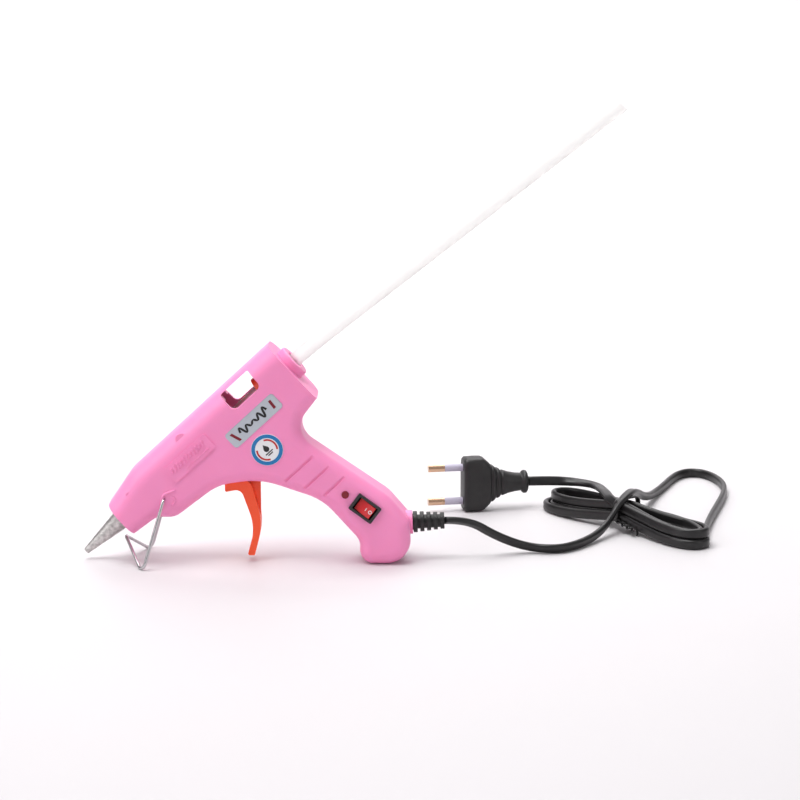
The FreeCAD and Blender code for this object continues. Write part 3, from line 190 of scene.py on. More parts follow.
def linear(colour):
    # screen colour, 0 to 255, to the shader's own
    values = [c / 255 for c in colour]
    return tuple(c / 12.92 if c <= 0.04045 else ((c + 0.055) / 1.055) ** 2.4 for c in values) + (1.0,)


def placeGroup(tree, group, vector, values):
    node = tree.nodes.new("ShaderNodeGroup")
    node.node_tree = group
    tree.links.new(vector, node.inputs["Vector"])
    for label, value in values.items():
        node.inputs[label].default_value = value
    return node


# what a finish has unless it says otherwise
plainFinish = {
    "driftScale": 60.0, "drift": 0.3, "speckle": 0.1, "dust": 0.0, "grainScale": 1500.0,
    "waveScale": 90.0, "wave": 0.3, "spread": 0.1, "bump": 0.25, "depth": 0.05,
}


def makeMaterial(name, ownFinish):
    finish = {**plainFinish, **ownFinish}
    material = bpy.data.materials.new(name)
    material.use_nodes = True
    tree = material.node_tree
    shader = tree.nodes["Principled BSDF"]
    coordinates = tree.nodes.new("ShaderNodeTexCoord").outputs["Object"]
    drift = placeGroup(tree, driftGroup, coordinates, {
        "Colour": linear(finish["colour"]), "Shade": linear(finish["shade"]),
        "Scale": finish["driftScale"], "Amount": finish["drift"], "Speckle": finish["speckle"]})
    colour = drift.outputs["Colour"]
    if finish["dust"]:
        dust = placeGroup(tree, dustGroup, coordinates, {"Amount": finish["dust"]})
        tree.links.new(colour, dust.inputs["Colour"])
        colour = dust.outputs["Colour"]
    tree.links.new(colour, shader.inputs["Base Color"])
    grain = placeGroup(tree, grainGroup, coordinates, {
        "Grain Scale": finish["grainScale"], "Wave Scale": finish["waveScale"], "Wave": finish["wave"],
        "Roughness": finish["roughness"], "Spread": finish["spread"]})
    tree.links.new(grain.outputs["Roughness"], shader.inputs["Roughness"])
    bump = tree.nodes.new("ShaderNodeBump")
    bump.inputs["Strength"].default_value = finish["bump"]
    bump.inputs["Distance"].default_value = finish["depth"] * mm
    tree.links.new(grain.outputs["Height"], bump.inputs["Height"])
    tree.links.new(bump.outputs["Normal"], shader.inputs["Normal"])
    for label in ("Metallic", "IOR", "Transmission Weight", "Coat Weight", "Coat Roughness",
                  "Subsurface Weight", "Subsurface Scale", "Specular IOR Level"):
        if label in finish:
            shader.inputs[label].default_value = finish[label]
    return material


finishes = {
    "pinkPlastic": {"colour": (250, 146, 197), "shade": (241, 132, 187), "roughness": 0.42,
                    "drift": 0.35, "speckle": 0.25, "dust": 0.05, "bump": 0.2, "depth": 0.04,
                    "Subsurface Weight": 0.12, "Subsurface Scale": 0.002},
    "orangePlastic": {"colour": (255, 84, 34), "shade": (240, 66, 22), "roughness": 0.38,
                      "drift": 0.4, "speckle": 0.2, "dust": 0.04},
    "castAluminium": {"colour": (214, 211, 209), "shade": (98, 94, 93), "roughness": 0.4,
                      "Metallic": 0.9, "drift": 1.6, "driftScale": 520.0, "speckle": 1.2,
                      "grainScale": 900.0, "waveScale": 330.0, "wave": 1.6, "bump": 0.8, "depth": 0.22,
                      "spread": 0.5},
    "steel": {"colour": (186, 186, 188), "shade": (140, 140, 143), "roughness": 0.28, "Metallic": 1.0,
              "drift": 0.5, "driftScale": 300.0, "speckle": 0.3, "spread": 0.2},
    "standSteel": {"colour": (206, 205, 207), "shade": (150, 149, 152), "roughness": 0.2,
                   "Metallic": 1.0, "drift": 0.5, "driftScale": 500.0, "speckle": 0.4, "spread": 0.2},
    "blackPlastic": {"colour": (22, 21, 23), "shade": (12, 12, 13), "roughness": 0.34, "drift": 0.5,
                     "speckle": 0.3, "dust": 0.07},
    "blackRubber": {"colour": (20, 19, 21), "shade": (11, 11, 12), "roughness": 0.44, "drift": 0.5,
                    "speckle": 0.4, "dust": 0.07, "grainScale": 2200.0, "bump": 0.35,
                    "Specular IOR Level": 0.4},
    "cordJacket": {"colour": (17, 16, 18), "shade": (9, 9, 10), "roughness": 0.32, "drift": 0.5,
                   "speckle": 0.3, "dust": 0.05, "grainScale": 1800.0, "Specular IOR Level": 0.4},
    "redPlastic": {"colour": (205, 34, 40), "shade": (170, 20, 28), "roughness": 0.24, "drift": 0.4,
                   "speckle": 0.15, "Coat Weight": 0.3, "Coat Roughness": 0.12},
    "redLens": {"colour": (134, 0, 28), "shade": (92, 0, 16), "roughness": 0.12, "drift": 0.4,
                "Transmission Weight": 0.15, "IOR": 1.5, "speckle": 0.05},
    "ceramic": {"colour": (238, 234, 226), "shade": (214, 208, 196), "roughness": 0.6, "drift": 0.4},
    "mica": {"colour": (196, 186, 160), "shade": (160, 148, 120), "roughness": 0.35, "drift": 0.7,
             "driftScale": 300.0, "speckle": 0.5},
    "amberFilm": {"colour": (206, 122, 30), "shade": (170, 92, 18), "roughness": 0.22, "drift": 0.4},
    "silicone": {"colour": (226, 222, 214), "shade": (204, 198, 188), "roughness": 0.55,
                 "drift": 0.4, "Subsurface Weight": 0.2, "Subsurface Scale": 0.002},
    "glue": {"colour": (254, 254, 252), "shade": (246, 246, 242), "roughness": 0.38, "drift": 0.3,
             "driftScale": 90.0, "speckle": 0.1, "Transmission Weight": 0.72, "IOR": 1.25,
             "bump": 0.08, "waveScale": 160.0, "wave": 1.2},
    "silverPlate": {"colour": (190, 196, 205), "shade": (166, 172, 182), "roughness": 0.32,
                    "Metallic": 0.35, "drift": 0.5, "driftScale": 140.0, "speckle": 0.5},
    "darkRedInk": {"colour": (122, 0, 30), "shade": (96, 0, 20), "roughness": 0.4, "drift": 0.3},
    "blackInk": {"colour": (26, 25, 28), "shade": (16, 16, 18), "roughness": 0.42, "drift": 0.3},
    "blueInk": {"colour": (14, 116, 178), "shade": (8, 98, 158), "roughness": 0.34, "drift": 0.3},
    "redInk": {"colour": (190, 26, 30), "shade": (160, 16, 20), "roughness": 0.36, "drift": 0.3},
    "whiteInk": {"colour": (232, 233, 236), "shade": (214, 216, 220), "roughness": 0.34, "drift": 0.3},
    "brass": {"colour": (214, 178, 150), "shade": (176, 138, 108), "roughness": 0.26, "Metallic": 1.0,
              "drift": 0.5, "driftScale": 220.0, "speckle": 0.3},
    "lilacPlastic": {"colour": (184, 180, 198), "shade": (164, 160, 180), "roughness": 0.4,
                     "drift": 0.4, "speckle": 0.2},
    "wireCover": {"colour": (222, 218, 210), "shade": (196, 190, 178), "roughness": 0.5, "drift": 0.4},
}
materials = {name: makeMaterial(name, finish) for name, finish in finishes.items()}

# what each CAD node that stays in sight, or inside, is made of
nodeFinish = {
    "housing_left": "pinkPlastic", "housing_right": "pinkPlastic", "inlet_collar": "pinkPlastic",
    "nozzle": "castAluminium", "heating_chamber": "castAluminium", "heater_film": "amberFilm",
    "heater_electrodes": "brass", "heater_disc": "ceramic", "front_insulator": "mica",
    "heat_shield": "steel", "inlet_sleeve": "silicone", "sleeve_clip": "steel", "glue_stick": "glue",
    "feed_carriage": "orangePlastic", "grip_claw": "steel", "return_spring": "steel",
    "trigger": "orangePlastic", "trigger_pin": "steel", "stand_wire": "standSteel",
    "switch_frame": "blackPlastic", "switch_rocker": "redPlastic", "switch_terminals": "brass",
    "lamp_lens": "redLens", "lamp_resistor": "ceramic", "wire_neutral": "wireCover",
    "wire_live": "wireCover", "wire_heater": "wireCover", "cord_grommet": "blackRubber",
    "cord_clamp": "blackPlastic", "clamp_base": "blackPlastic", "clamp_screws": "steel",
    "housing_screws": "steel", "cord_inside": "cordJacket", "plug_pins": "brass",
    "plug_pin_sleeves": "lilacPlastic",
}


def dressNodes():
    for name, finish in nodeFinish.items():
        mesh = nodes[name].data
        mesh.materials.clear()
        mesh.materials.append(materials[finish])


dressNodes()
print("materials:", len(materials), "on", len(nodeFinish), "nodes")


def meshPiece(name, points, faces, material, body, smooth=True):
    mesh = bpy.data.meshes.new(name)
    mesh.from_pydata([tuple(c * mm for c in point) for point in points], [], faces)
    mesh.validate()
    tidy = bmesh.new()
    tidy.from_mesh(mesh)
    bmesh.ops.recalc_face_normals(tidy, faces=tidy.faces)
    tidy.to_mesh(mesh)
    tidy.free()
    mesh.materials.append(materials[material])
    mesh.polygons.foreach_set("use_smooth", [smooth] * len(mesh.polygons))
    piece = bpy.data.objects.new(name, mesh)
    bpy.context.scene.collection.objects.link(piece)
    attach(piece, body)
    return piece


def loftFaces(rings, count):
    # the skin over a row of closed rings, with both ends shut
    faces = []
    for ring in range(rings - 1):
        for spot in range(count):
            ahead = (spot + 1) % count
            faces.append((ring * count + spot, ring * count + ahead,
                          (ring + 1) * count + ahead, (ring + 1) * count + spot))
    faces.append(tuple(range(count)))
    faces.append(tuple(reversed(range((rings - 1) * count, rings * count))))
    return faces


# the mains flex: two cores side by side; its length is in metres
flex = {
    "width": 5.2, "thick": 3.2, "spacing": 1.0, "coreShare": 0.5, "groove": 0.16, "grooveShare": 0.2,
    "sectionPoints": 20, "resolution": 10, "length": 1.28,
}
# the route from the grommet, over the tied middle and round the loose loop: place and lean
leadRoute = [
    (47.9, 0.0, 20.2, 35), (60.0, 0.6, 20.4, 40), (74.0, 6.0, 10.5, 45), (90.0, 12.0, 2.9, 55),
    (106.0, 8.5, 2.6, 65), (118.5, 19.5, 2.6, 72), (129.0, 35.5, 3.4, 70), (136.3, 47.5, 8.2, 55),
    (141.0, 54.0, 15.0, 20), (146.0, 61.5, 18.0, 0), (150.0, 71.5, 17.6, 0),
]
loopRoute = [
    (153.0, 82.0, 14.2, 15), (157.5, 96.0, 8.6, 45), (162.5, 110.0, 4.6, 70), (168.5, 126.5, 2.8, 82),
    (175.0, 143.0, 2.65, 85), (180.5, 158.0, 2.65, 85), (185.5, 168.0, 2.65, 85),
    (191.5, 173.5, 2.65, 85), (198.4, 172.6, 2.65, 85), (203.6, 166.0, 2.65, 85),
    (206.6, 156.5, 2.65, 85), (208.2, 146.0, 2.65, 85), (207.8, 134.0, 2.65, 85),
    (204.6, 117.0, 2.65, 85), (198.8, 96.0, 2.65, 85), (192.4, 73.0, 2.65, 87),
    (187.0, 51.0, 2.65, 89),
]
tailRoute = [
    (128.6, 101.0, 14.2, 6), (119.0, 106.0, 14.2, 20), (106.0, 105.2, 14.9, 60), (95.0, 103.2, 15.0, 88),
]
hank = {
    "middle": (144.0, 62.0), "turn": -53.0, "waistShift": 3.0, "lift": 5.0, "low": 2.65, "high": 7.95,
    # half length, lobe and waist of each turn: low outer, low inner, top inner, top outer
    "turns": [(57.0, 12.8, 5.2), (53.0, 8.6, 1.9), (54.6, 8.8, 1.8), (56.0, 12.4, 5.1)],
    # one turn from the back of the near fold: along, share of the lobe, share of the waist, side
    "shape": [
        (0.86, 0.92, 0.0, 1), (1.0, 0.42, 0.0, 1), (1.0, 0.42, 0.0, -1), (0.86, 0.92, 0.0, -1),
        (0.6, 1.0, 0.0, -1), (0.3, 0.5, 0.5, -1), (0.0, 0.0, 1.0, -1), (-0.3, 0.5, 0.5, -1),
        (-0.6, 1.0, 0.0, -1), (-0.86, 0.92, 0.0, -1), (-1.0, 0.42, 0.0, -1), (-1.0, 0.42, 0.0, 1),
        (-0.86, 0.92, 0.0, 1), (-0.6, 1.0, 0.0, 1), (-0.3, 0.5, 0.5, 1), (0.0, 0.0, 1.0, 1),
        (0.3, 0.5, 0.5, 1), (0.6, 1.0, 0.0, 1)],
    # the last pass leaves the top of the hank: along, across, height over the bench, lean
    "leaving": [(-6.0, -4.2, 15.0, 60), (-14.0, 0.6, 15.6, 20), (-23.0, 5.6, 15.2, 0),
                (-32.0, 10.6, 14.4, 5)],
    "bow": 3.4, "bowFrom": 0.6, "pinch": 0.78, "wholeTurns": 3, "lowTurns": 2, "lastSteps": 7,
    "climb": {13: 3.6, 14: 5.0, 15: 6.4, 16: 7.5, 17: 7.95},
    "fan": [0.0, 1.2, -1.4, 0.8],
}


def hankPoint(along, across, height, lean):
    turn = math.radians(hank["turn"])
    x = hank["middle"][0] + along * math.cos(turn) - across * math.sin(turn)
    y = hank["middle"][1] + along * math.sin(turn) + across * math.cos(turn)
    return x, y, height, lean


def hankTurns():
    # three whole turns, then half a turn that leaves over the top towards the plug
    points = []
    for number, (reach, lobe, waist) in enumerate(hank["turns"]):
        level = hank["low"] if number < hank["lowTurns"] else hank["high"]
        shape = hank["shape"] if number < hank["wholeTurns"] else hank["shape"][:hank["lastSteps"]]
        climb = hank["climb"] if number == hank["lowTurns"] - 1 else {}
        swing = math.radians(hank["fan"][number])
        for step, (along, lobeShare, waistShare, side) in enumerate(shape):
            across = side * (lobe * lobeShare + waist * waistShare)
            if along > 0:
                across = across * hank["pinch"] + hank["bow"] * min(1.0, along / hank["bowFrom"])
            height = climb.get(step, level) + hank["lift"] * (1 - abs(along)) ** 2
            x = reach * along + hank["waistShift"] * (1 - abs(along))
            points.append(hankPoint(x * math.cos(swing) - across * math.sin(swing),
                                    across * math.cos(swing) + x * math.sin(swing), height, 90))
    return points + [hankPoint(*place) for place in hank["leaving"]]


def splinePoints(name, route, resolution):
    # the smooth line through a route, read back as points
    curve = bpy.data.curves.new(name, "CURVE")
    curve.dimensions = "3D"
    spline = curve.splines.new("NURBS")
    spline.points.add(len(route) - 1)
    for point, place in zip(spline.points, route):
        point.co = (place[0] * mm, place[1] * mm, place[2] * mm, 1.0)
    spline.order_u = 3
    spline.use_endpoint_u = True
    spline.resolution_u = resolution
    holder = bpy.data.objects.new(name, curve)
    bpy.context.scene.collection.objects.link(holder)
    bpy.context.view_layer.update()
    line = bpy.data.meshes.new_from_object(holder.evaluated_get(bpy.context.evaluated_depsgraph_get()))
    points = [vertex.co / mm for vertex in line.vertices]
    bpy.data.objects.remove(holder)
    bpy.data.meshes.remove(line)
    return points


def flexSection():
    # two round cores side by side under one jacket, with a groove between them
    section = []
    half = flex["thick"] / 2
    for number in range(flex["sectionPoints"]):
        angle = 2 * math.pi * number / flex["sectionPoints"]
        core = max(-1, min(1, math.cos(angle) / flex["coreShare"]))
        across = half * math.cos(angle) + flex["spacing"] * core
        dip = 1 - flex["groove"] * math.exp(-(math.cos(angle) / flex["grooveShare"]) ** 2)
        section.append((across, half * math.sin(angle) * dip))
    return section


def sweep(line, section, leans):
    # carries a section along a line; a lean of 0 lies flat and 90 stands on edge
    points = []
    for number, place in enumerate(line):
        before = line[max(0, number - 1)]
        after = line[min(len(line) - 1, number + 1)]
        ahead = (after - before).normalized()
        side = ahead.cross(Vector((0, 0, 1))).normalized()
        rise = side.cross(ahead)
        spot = number / (len(line) - 1) * (len(leans) - 1)
        low = min(int(spot), len(leans) - 2)
        lean = math.radians(leans[low] + (leans[low + 1] - leans[low]) * (spot - low))
        wide = side * math.cos(lean) + rise * math.sin(lean)
        thin = rise * math.cos(lean) - side * math.sin(lean)
        points += [place + wide * a + thin * b for a, b in section]
    return points


def makeCord():
    route = leadRoute + loopRoute + hankTurns() + tailRoute
    line = splinePoints("cordLine", route, flex["resolution"])
    section = flexSection()
    points = sweep(line, section, [point[3] for point in route])
    length = sum((b - a).length for a, b in zip(line, line[1:]))
    print(f"cord: {len(route)} points, {length:.0f} mm along its middle")
    cord = meshPiece("mainsFlex", points, loftFaces(len(line), len(section)), "cordJacket",
                     "housing")
    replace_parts(cord, "cord_lead", "cord_loop", "cord_tail", "cord_hank")
    tuple(c * mm for c in route[0][:3])
    [tuple(c * mm for c in point) for point in line]


# the twist tie round the hank
tie = {
    "along": 3.0, "width": 3.4, "thick": 0.7, "corner": 2.6, "low": 4.3, "high": 16.4, "reach": 7.6,
    "steps": 8, "tailTurns": 2.2, "tailRadius": 0.9, "strand": 0.85, "strandFlat": 0.6,
    "tailRise": 6.0, "tailOut": 0.4, "tailEnd": (149.5, 41.5, 2.7), "tailRings": 40, "strandSides": 8,
    "splayFrom": 0.7, "splay": 1.2,
    # across the strip and out from it, as shares of its width and thickness
    "profile": [(-0.5, 0.0), (-0.5, 0.7), (-0.15, 1.0), (0.15, 1.0), (0.5, 0.7), (0.5, 0.0)],
}


def makeTie():
    ring = []
    corners = [(1, 1), (-1, 1), (-1, -1), (1, -1)]
    middle = (tie["low"] + tie["high"]) / 2
    tall = (tie["high"] - tie["low"]) / 2
    for number, (a, b) in enumerate(corners):
        for step in range(tie["steps"] + 1):
            angle = math.radians(90 * number + 90 * step / tie["steps"])
            ring.append((a * (tie["reach"] - tie["corner"]) + tie["corner"] * math.cos(angle),
                         middle + b * (tall - tie["corner"]) + tie["corner"] * math.sin(angle),
                         math.cos(angle), math.sin(angle)))
    points = []
    for across, height, outX, outZ in ring:
        for share, out in tie["profile"]:
            place = hankPoint(tie["along"] + share * tie["width"], across + outX * out * tie["thick"],
                              height + outZ * out * tie["thick"], 0)
            points.append(place[:3])
    faces = []
    count = len(tie["profile"])
    for spot in range(len(ring)):
        ahead = (spot + 1) % len(ring)
        for step in range(count):
            beside = (step + 1) % count
            faces.append((spot * count + step, spot * count + beside,
                          ahead * count + beside, ahead * count + step))
    # two twisted ends that lie in front of the hank
    start = Vector(hankPoint(tie["along"], -tie["reach"] - tie["tailOut"], tie["tailRise"], 0)[:3])
    end = Vector(tie["tailEnd"])
    heading = (end - start).normalized()
    side = heading.cross(Vector((0, 0, 1))).normalized()
    rise = side.cross(heading)
    for strand in range(2):
        base = len(points)
        for step in range(tie["tailRings"]):
            share = step / (tie["tailRings"] - 1)
            angle = 2 * math.pi * tie["tailTurns"] * share + math.pi * strand
            opened = max(0.0, share - tie["splayFrom"]) / (1 - tie["splayFrom"])
            spread = tie["tailRadius"] * (1 + tie["splay"] * opened)
            centre = start.lerp(end, share) + (side * math.cos(angle) + rise * math.sin(angle)) * spread
            for corner in range(tie["strandSides"]):
                around = 2 * math.pi * corner / tie["strandSides"]
                points.append(tuple(centre + side * math.cos(around) * tie["strand"]
                                    + rise * math.sin(around) * tie["strand"] * tie["strandFlat"]))
        skin = loftFaces(tie["tailRings"], tie["strandSides"])
        faces += [tuple(base + index for index in face) for face in skin]
    piece = meshPiece("twistTie", points, faces, "blackPlastic", "housing")
    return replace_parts(piece, "cord_tie")


# the plug, with three grooves round its taper
plug = {
    "face": (59.5, 96.9, 15.0), "heading": 190.0, "grooves": (15.5, 18.3, 21.1), "grooveDepth": 0.55,
    "grooveWidth": 0.55, "grooveSteps": (-1.0, -0.55, -0.2, 0.2, 0.55, 1.0), "around": 48,
    "firstRing": 2.5, "ringPitch": 0.9, "ringCount": 34,
    # back from the face, half height, half thickness, squareness
    "sections": [
        (0.0, 12.6, 5.2, 5.0), (0.3, 13.9, 6.2, 5.0), (1.2, 14.8, 6.75, 5.0), (6.0, 15.0, 6.8, 5.0),
        (10.0, 14.9, 6.8, 4.6), (11.6, 14.2, 6.7, 4.2), (14.0, 12.0, 6.5, 3.6), (17.0, 9.6, 6.2, 3.0),
        (21.0, 7.4, 5.8, 2.6), (25.0, 6.0, 5.3, 2.3), (29.0, 5.2, 4.9, 2.1), (32.4, 4.9, 4.7, 2.0),
        (33.2, 5.9, 5.9, 2.0), (33.9, 6.35, 6.35, 2.0), (35.2, 6.3, 6.3, 2.0), (35.8, 5.6, 5.6, 2.0),
        (36.0, 3.6, 3.6, 2.0)],
}


def between(rows, place):
    for low, high in zip(rows, rows[1:]):
        if place <= high[0]:
            share = (place - low[0]) / (high[0] - low[0])
            return [a + (b - a) * share for a, b in zip(low, high)]
    return list(rows[-1])


def makePlug():
    heading = math.radians(plug["heading"])
    ahead = Vector((math.cos(heading), math.sin(heading), 0))
    side = Vector((-ahead.y, ahead.x, 0))
    stations = {row[0] for row in plug["sections"]}
    stations |= {middle + shift for middle in plug["grooves"] for shift in plug["grooveSteps"]}
    stations |= {plug["firstRing"] + plug["ringPitch"] * step for step in range(plug["ringCount"])}
    points = []
    for place in sorted(stations):
        _, tall, thick, square = between(plug["sections"], place)
        dip = plug["grooveDepth"] * sum(math.exp(-((place - middle) / plug["grooveWidth"]) ** 4)
                                        for middle in plug["grooves"])
        for step in range(plug["around"]):
            angle = 2 * math.pi * step / plug["around"]
            c, s = math.cos(angle), math.sin(angle)
            across = math.copysign(abs(c) ** (2 / square), c) * (thick - dip)
            height = math.copysign(abs(s) ** (2 / square), s) * (tall - dip)
            points.append(tuple(Vector(plug["face"]) - ahead * place + side * across
                                + Vector((0, 0, height))))
    piece = meshPiece("plugBody", points, loftFaces(len(stations), plug["around"]), "blackRubber",
                      "housing")
    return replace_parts(piece, "plug_body")


twistTie = makeTie()
plugBody = makePlug()
makeCord()


# marks on the side of the housing all lean with the barrel
sideMarks = {"lean": 42.8, "ink": 0.05}


class Surface:
    # a flat place on the switch side: along the barrel, square to it, and outwards
    def __init__(self, x, z, face, lean):
        angle = math.radians(lean)
        self.centre = Vector((x, face, z))
        self.along = Vector((math.cos(angle), 0, math.sin(angle)))
        self.above = Vector((-math.sin(angle), 0, math.cos(angle)))
        self.out = Vector((0, -1, 0))

    def at(self, a, b, lift):
        return tuple(self.centre + self.along * a + self.above * b + self.out * lift)


def nodeSurface(node, lean):
    low, high = (Vector(corner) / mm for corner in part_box(node))
    return Surface((low.x + high.x) / 2, (low.z + high.z) / 2, high.y, lean)


def roundedBox(length, height, corner, steps=6):
    outline = []
    for number, (a, b) in enumerate([(1, 1), (-1, 1), (-1, -1), (1, -1)]):
        for step in range(steps + 1):
            angle = math.radians(90 * number + 90 * step / steps)
            outline.append((a * (length / 2 - corner) + corner * math.cos(angle),
                            b * (height / 2 - corner) + corner * math.sin(angle)))
    return outline


def prism(surface, outline, low, high, points, faces):
    base = len(points)
    count = len(outline)
    points += [surface.at(a, b, low) for a, b in outline]
    points += [surface.at(a, b, high) for a, b in outline]
    faces.append(tuple(base + spot for spot in range(count)))
    faces.append(tuple(base + count + spot for spot in reversed(range(count))))
    for spot in range(count):
        ahead = (spot + 1) % count
        faces.append((base + spot, base + ahead, base + count + ahead, base + count + spot))


def ringSector(inner, outer, start, end, steps):
    outline = []
    for radius, way in ((outer, range(steps + 1)), (inner, reversed(range(steps + 1)))):
        for step in way:
            angle = math.radians(start + (end - start) * step / steps)
            outline.append((radius * math.cos(angle), radius * math.sin(angle)))
    return outline


def strokeOutline(line, widths):
    # a pen stroke: a line with a width at each of its points
    left, right = [], []
    for number, (place, width) in enumerate(zip(line, widths)):
        before = line[max(0, number - 1)]
        after = line[min(len(line) - 1, number + 1)]
        run = math.hypot(after[0] - before[0], after[1] - before[1])
        across = (-(after[1] - before[1]) / run * width / 2, (after[0] - before[0]) / run * width / 2)
        left.append((place[0] + across[0], place[1] + across[1]))
        right.append((place[0] - across[0], place[1] - across[1]))
    return left, right


def ribbon(surface, line, widths, low, high, points, faces):
    left, right = strokeOutline(line, widths)
    for number in range(len(line) - 1):
        prism(surface, [left[number], right[number], right[number + 1], left[number + 1]],
              low, high, points, faces)


plate = {
    "length": 32.3, "height": 9.0, "corner": 1.7, "thick": 0.3, "rim": 0.5, "edge": 0.08, "sunk": 0.06,
    "bars": [(-12.3, 5.6, 0.9), (12.4, 4.8, -0.2)], "barHalf": 0.75,  # along, height, slant
    "beadStart": -9.0, "beadLength": 17.6, "beadSteps": 96, "beadWaves": 9.0, "beadSwing": 2.5,
    "beadEven": 0.62, "beadFade": 0.38, "beadFadeWaves": 2.2, "beadThin": 0.6,
}


def makePlate():
    surface = nodeSurface("name_plate", sideMarks["lean"])
    rim = plate["rim"]
    top = plate["thick"] - plate["sunk"]
    outline = roundedBox(plate["length"], plate["height"], plate["corner"])
    inside = roundedBox(plate["length"] - 2 * rim, plate["height"] - 2 * rim, plate["corner"] - rim)
    levels = [(outline, 0.0), (outline, plate["thick"] - plate["edge"]), (inside, plate["thick"]),
              (inside, top)]
    points = [surface.at(a, b, lift) for ring, lift in levels for a, b in ring]
    piece = meshPiece("namePlate", points, loftFaces(len(levels), len(outline)), "silverPlate",
                      "housing", smooth=False)
    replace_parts(piece, "name_plate")
    points, faces = [], []
    for spot, tall, slant in plate["bars"]:
        left, right = spot - plate["barHalf"], spot + plate["barHalf"]
        bar = [(left - slant, tall / 2), (left + slant, -tall / 2),
               (right + slant, -tall / 2), (right - slant, tall / 2)]
        prism(surface, bar, top, top + sideMarks["ink"], points, faces)
    meshPiece("plateBars", points, faces, "darkRedInk", "housing", smooth=False)
    # a plain bead of glue drawn as one wavy stroke
    points, faces, line, widths = [], [], [], []
    for step in range(plate["beadSteps"] + 1):
        share = step / plate["beadSteps"]
        wave = share * plate["beadWaves"] * math.pi
        fade = plate["beadFade"] * math.cos(share * plate["beadFadeWaves"] * math.pi)
        line.append((plate["beadStart"] + plate["beadLength"] * share,
                     plate["beadSwing"] * math.sin(wave) * (plate["beadEven"] + fade)))
        widths.append(plate["beadThin"] * (1 + abs(math.cos(wave))))
    ribbon(surface, line, widths, top, top + sideMarks["ink"], points, faces)
    meshPiece("plateBead", points, faces, "blackInk", "housing", smooth=False)


badge = {
    "radius": 8.0, "thick": 0.3, "edge": 0.1, "rim": 0.15, "sideTurn": 5, "ringInner": 6.0,
    "sectorTurn": 15, "sectorSteps": 3, "arcInner": 4.6, "arcOuter": 5.5, "arcStarts": (-38, 142),
    "arcSectors": 7, "dropRadius": 1.45, "dropPinch": 0.75, "dropPoint": 1.3, "dropLift": 0.5,
    "dropSteps": 36, "bars": [(-1.9, 4.6), (-2.9, 3.0)], "barTall": 0.55,  # height, length
}


def ringPart(surface, inner, outer, start, sectors, points, faces):
    # a printed ring, or part of one, laid in short sectors
    turn = badge["sectorTurn"]
    for step in range(sectors):
        outline = ringSector(inner, outer, start + step * turn, start + (step + 1) * turn,
                             badge["sectorSteps"])
        prism(surface, outline, badge["thick"], badge["thick"] + sideMarks["ink"], points, faces)


def makeBadge():
    surface = nodeSurface("round_badge", sideMarks["lean"])
    top = badge["thick"]
    inner = badge["radius"] - badge["rim"]
    levels = [(badge["radius"], 0.0), (badge["radius"], top - badge["edge"]), (inner, top)]
    angles = [math.radians(turn) for turn in range(0, 360, badge["sideTurn"])]
    points = [surface.at(r * math.cos(a), r * math.sin(a), lift) for r, lift in levels for a in angles]
    disc = meshPiece("badgeDisc", points, loftFaces(len(levels), len(angles)), "whiteInk", "housing",
                     smooth=False)
    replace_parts(disc, "round_badge")
    points, faces = [], []
    ringPart(surface, badge["ringInner"], inner, 0, 360 // badge["sectorTurn"], points, faces)
    meshPiece("badgeRing", points, faces, "blueInk", "housing", smooth=False)
    points, faces = [], []
    for start in badge["arcStarts"]:
        ringPart(surface, badge["arcInner"], badge["arcOuter"], start, badge["arcSectors"], points, faces)
    meshPiece("badgeArcs", points, faces, "redInk", "housing", smooth=False)
    # a drop over two short bars
    points, faces, drop = [], [], []
    for step in range(badge["dropSteps"]):
        angle = 2 * math.pi * step / badge["dropSteps"]
        pull = max(0.0, math.sin(angle)) ** 4
        drop.append((badge["dropRadius"] * math.cos(angle) * (1 - badge["dropPinch"] * pull),
                     badge["dropRadius"] * math.sin(angle) + badge["dropPoint"] * pull
                     + badge["dropLift"]))
    prism(surface, drop, top, top + sideMarks["ink"], points, faces)
    for low, length in badge["bars"]:
        high = low + badge["barTall"]
        prism(surface, [(-length / 2, low), (length / 2, low), (length / 2, high), (-length / 2, high)],
              top, top + sideMarks["ink"], points, faces)
    meshPiece("badgeDrop", points, faces, "blackInk", "housing", smooth=False)


ribs = {
    "face": -13.0, "proud": 0.7, "widths": {"hook": 1.3, "crescent": 0.9}, "resolution": 6,
    "taperStart": 0.35, "taperStep": 0.25,
    "section": [(-1.15, -0.3), (-0.85, 0.55), (-0.4, 0.95), (0.4, 0.95), (0.85, 0.55), (1.15, -0.3)],
    "hook": [(-94.4, 28.6), (-93.9, 31.2), (-93.2, 34.4), (-92.5, 36.6), (-91.0, 37.6), (-88.6, 38.5),
             (-86.4, 39.3)],
    "crescent": [(-88.3, 36.2), (-87.0, 35.4), (-86.6, 33.8), (-87.3, 32.2), (-88.8, 31.3)],
}


def makeRibs():
    # moulded ribs beside the stand's pivot, on both sides
    for name, side in (("ribsNear", 1), ("ribsFar", -1)):
        points, faces = [], []
        for label, width in ribs["widths"].items():
            smooth = splinePoints(label, [(x, 0.0, z) for x, z in ribs[label]], ribs["resolution"])
            rings = []
            for number, place in enumerate(smooth):
                before = smooth[max(0, number - 1)]
                after = smooth[min(len(smooth) - 1, number + 1)]
                ahead = (after - before).normalized()
                across = Vector((-ahead.z, 0, ahead.x))
                ends = min(number, len(smooth) - 1 - number)
                taper = min(1.0, ribs["taperStart"] + ends * ribs["taperStep"])
                rings.append([place + across * (a * width / 2 * taper)
                              + Vector((0, side * (ribs["face"] - b * ribs["proud"] * taper), 0))
                              for a, b in ribs["section"]])
            base = len(points)
            points += [tuple(point) for ring in rings for point in ring]
            skin = loftFaces(len(rings), len(ribs["section"]))
            faces += [tuple(base + index for index in face) for face in skin]
        meshPiece(name, points, faces, "pinkPlastic", "housing")


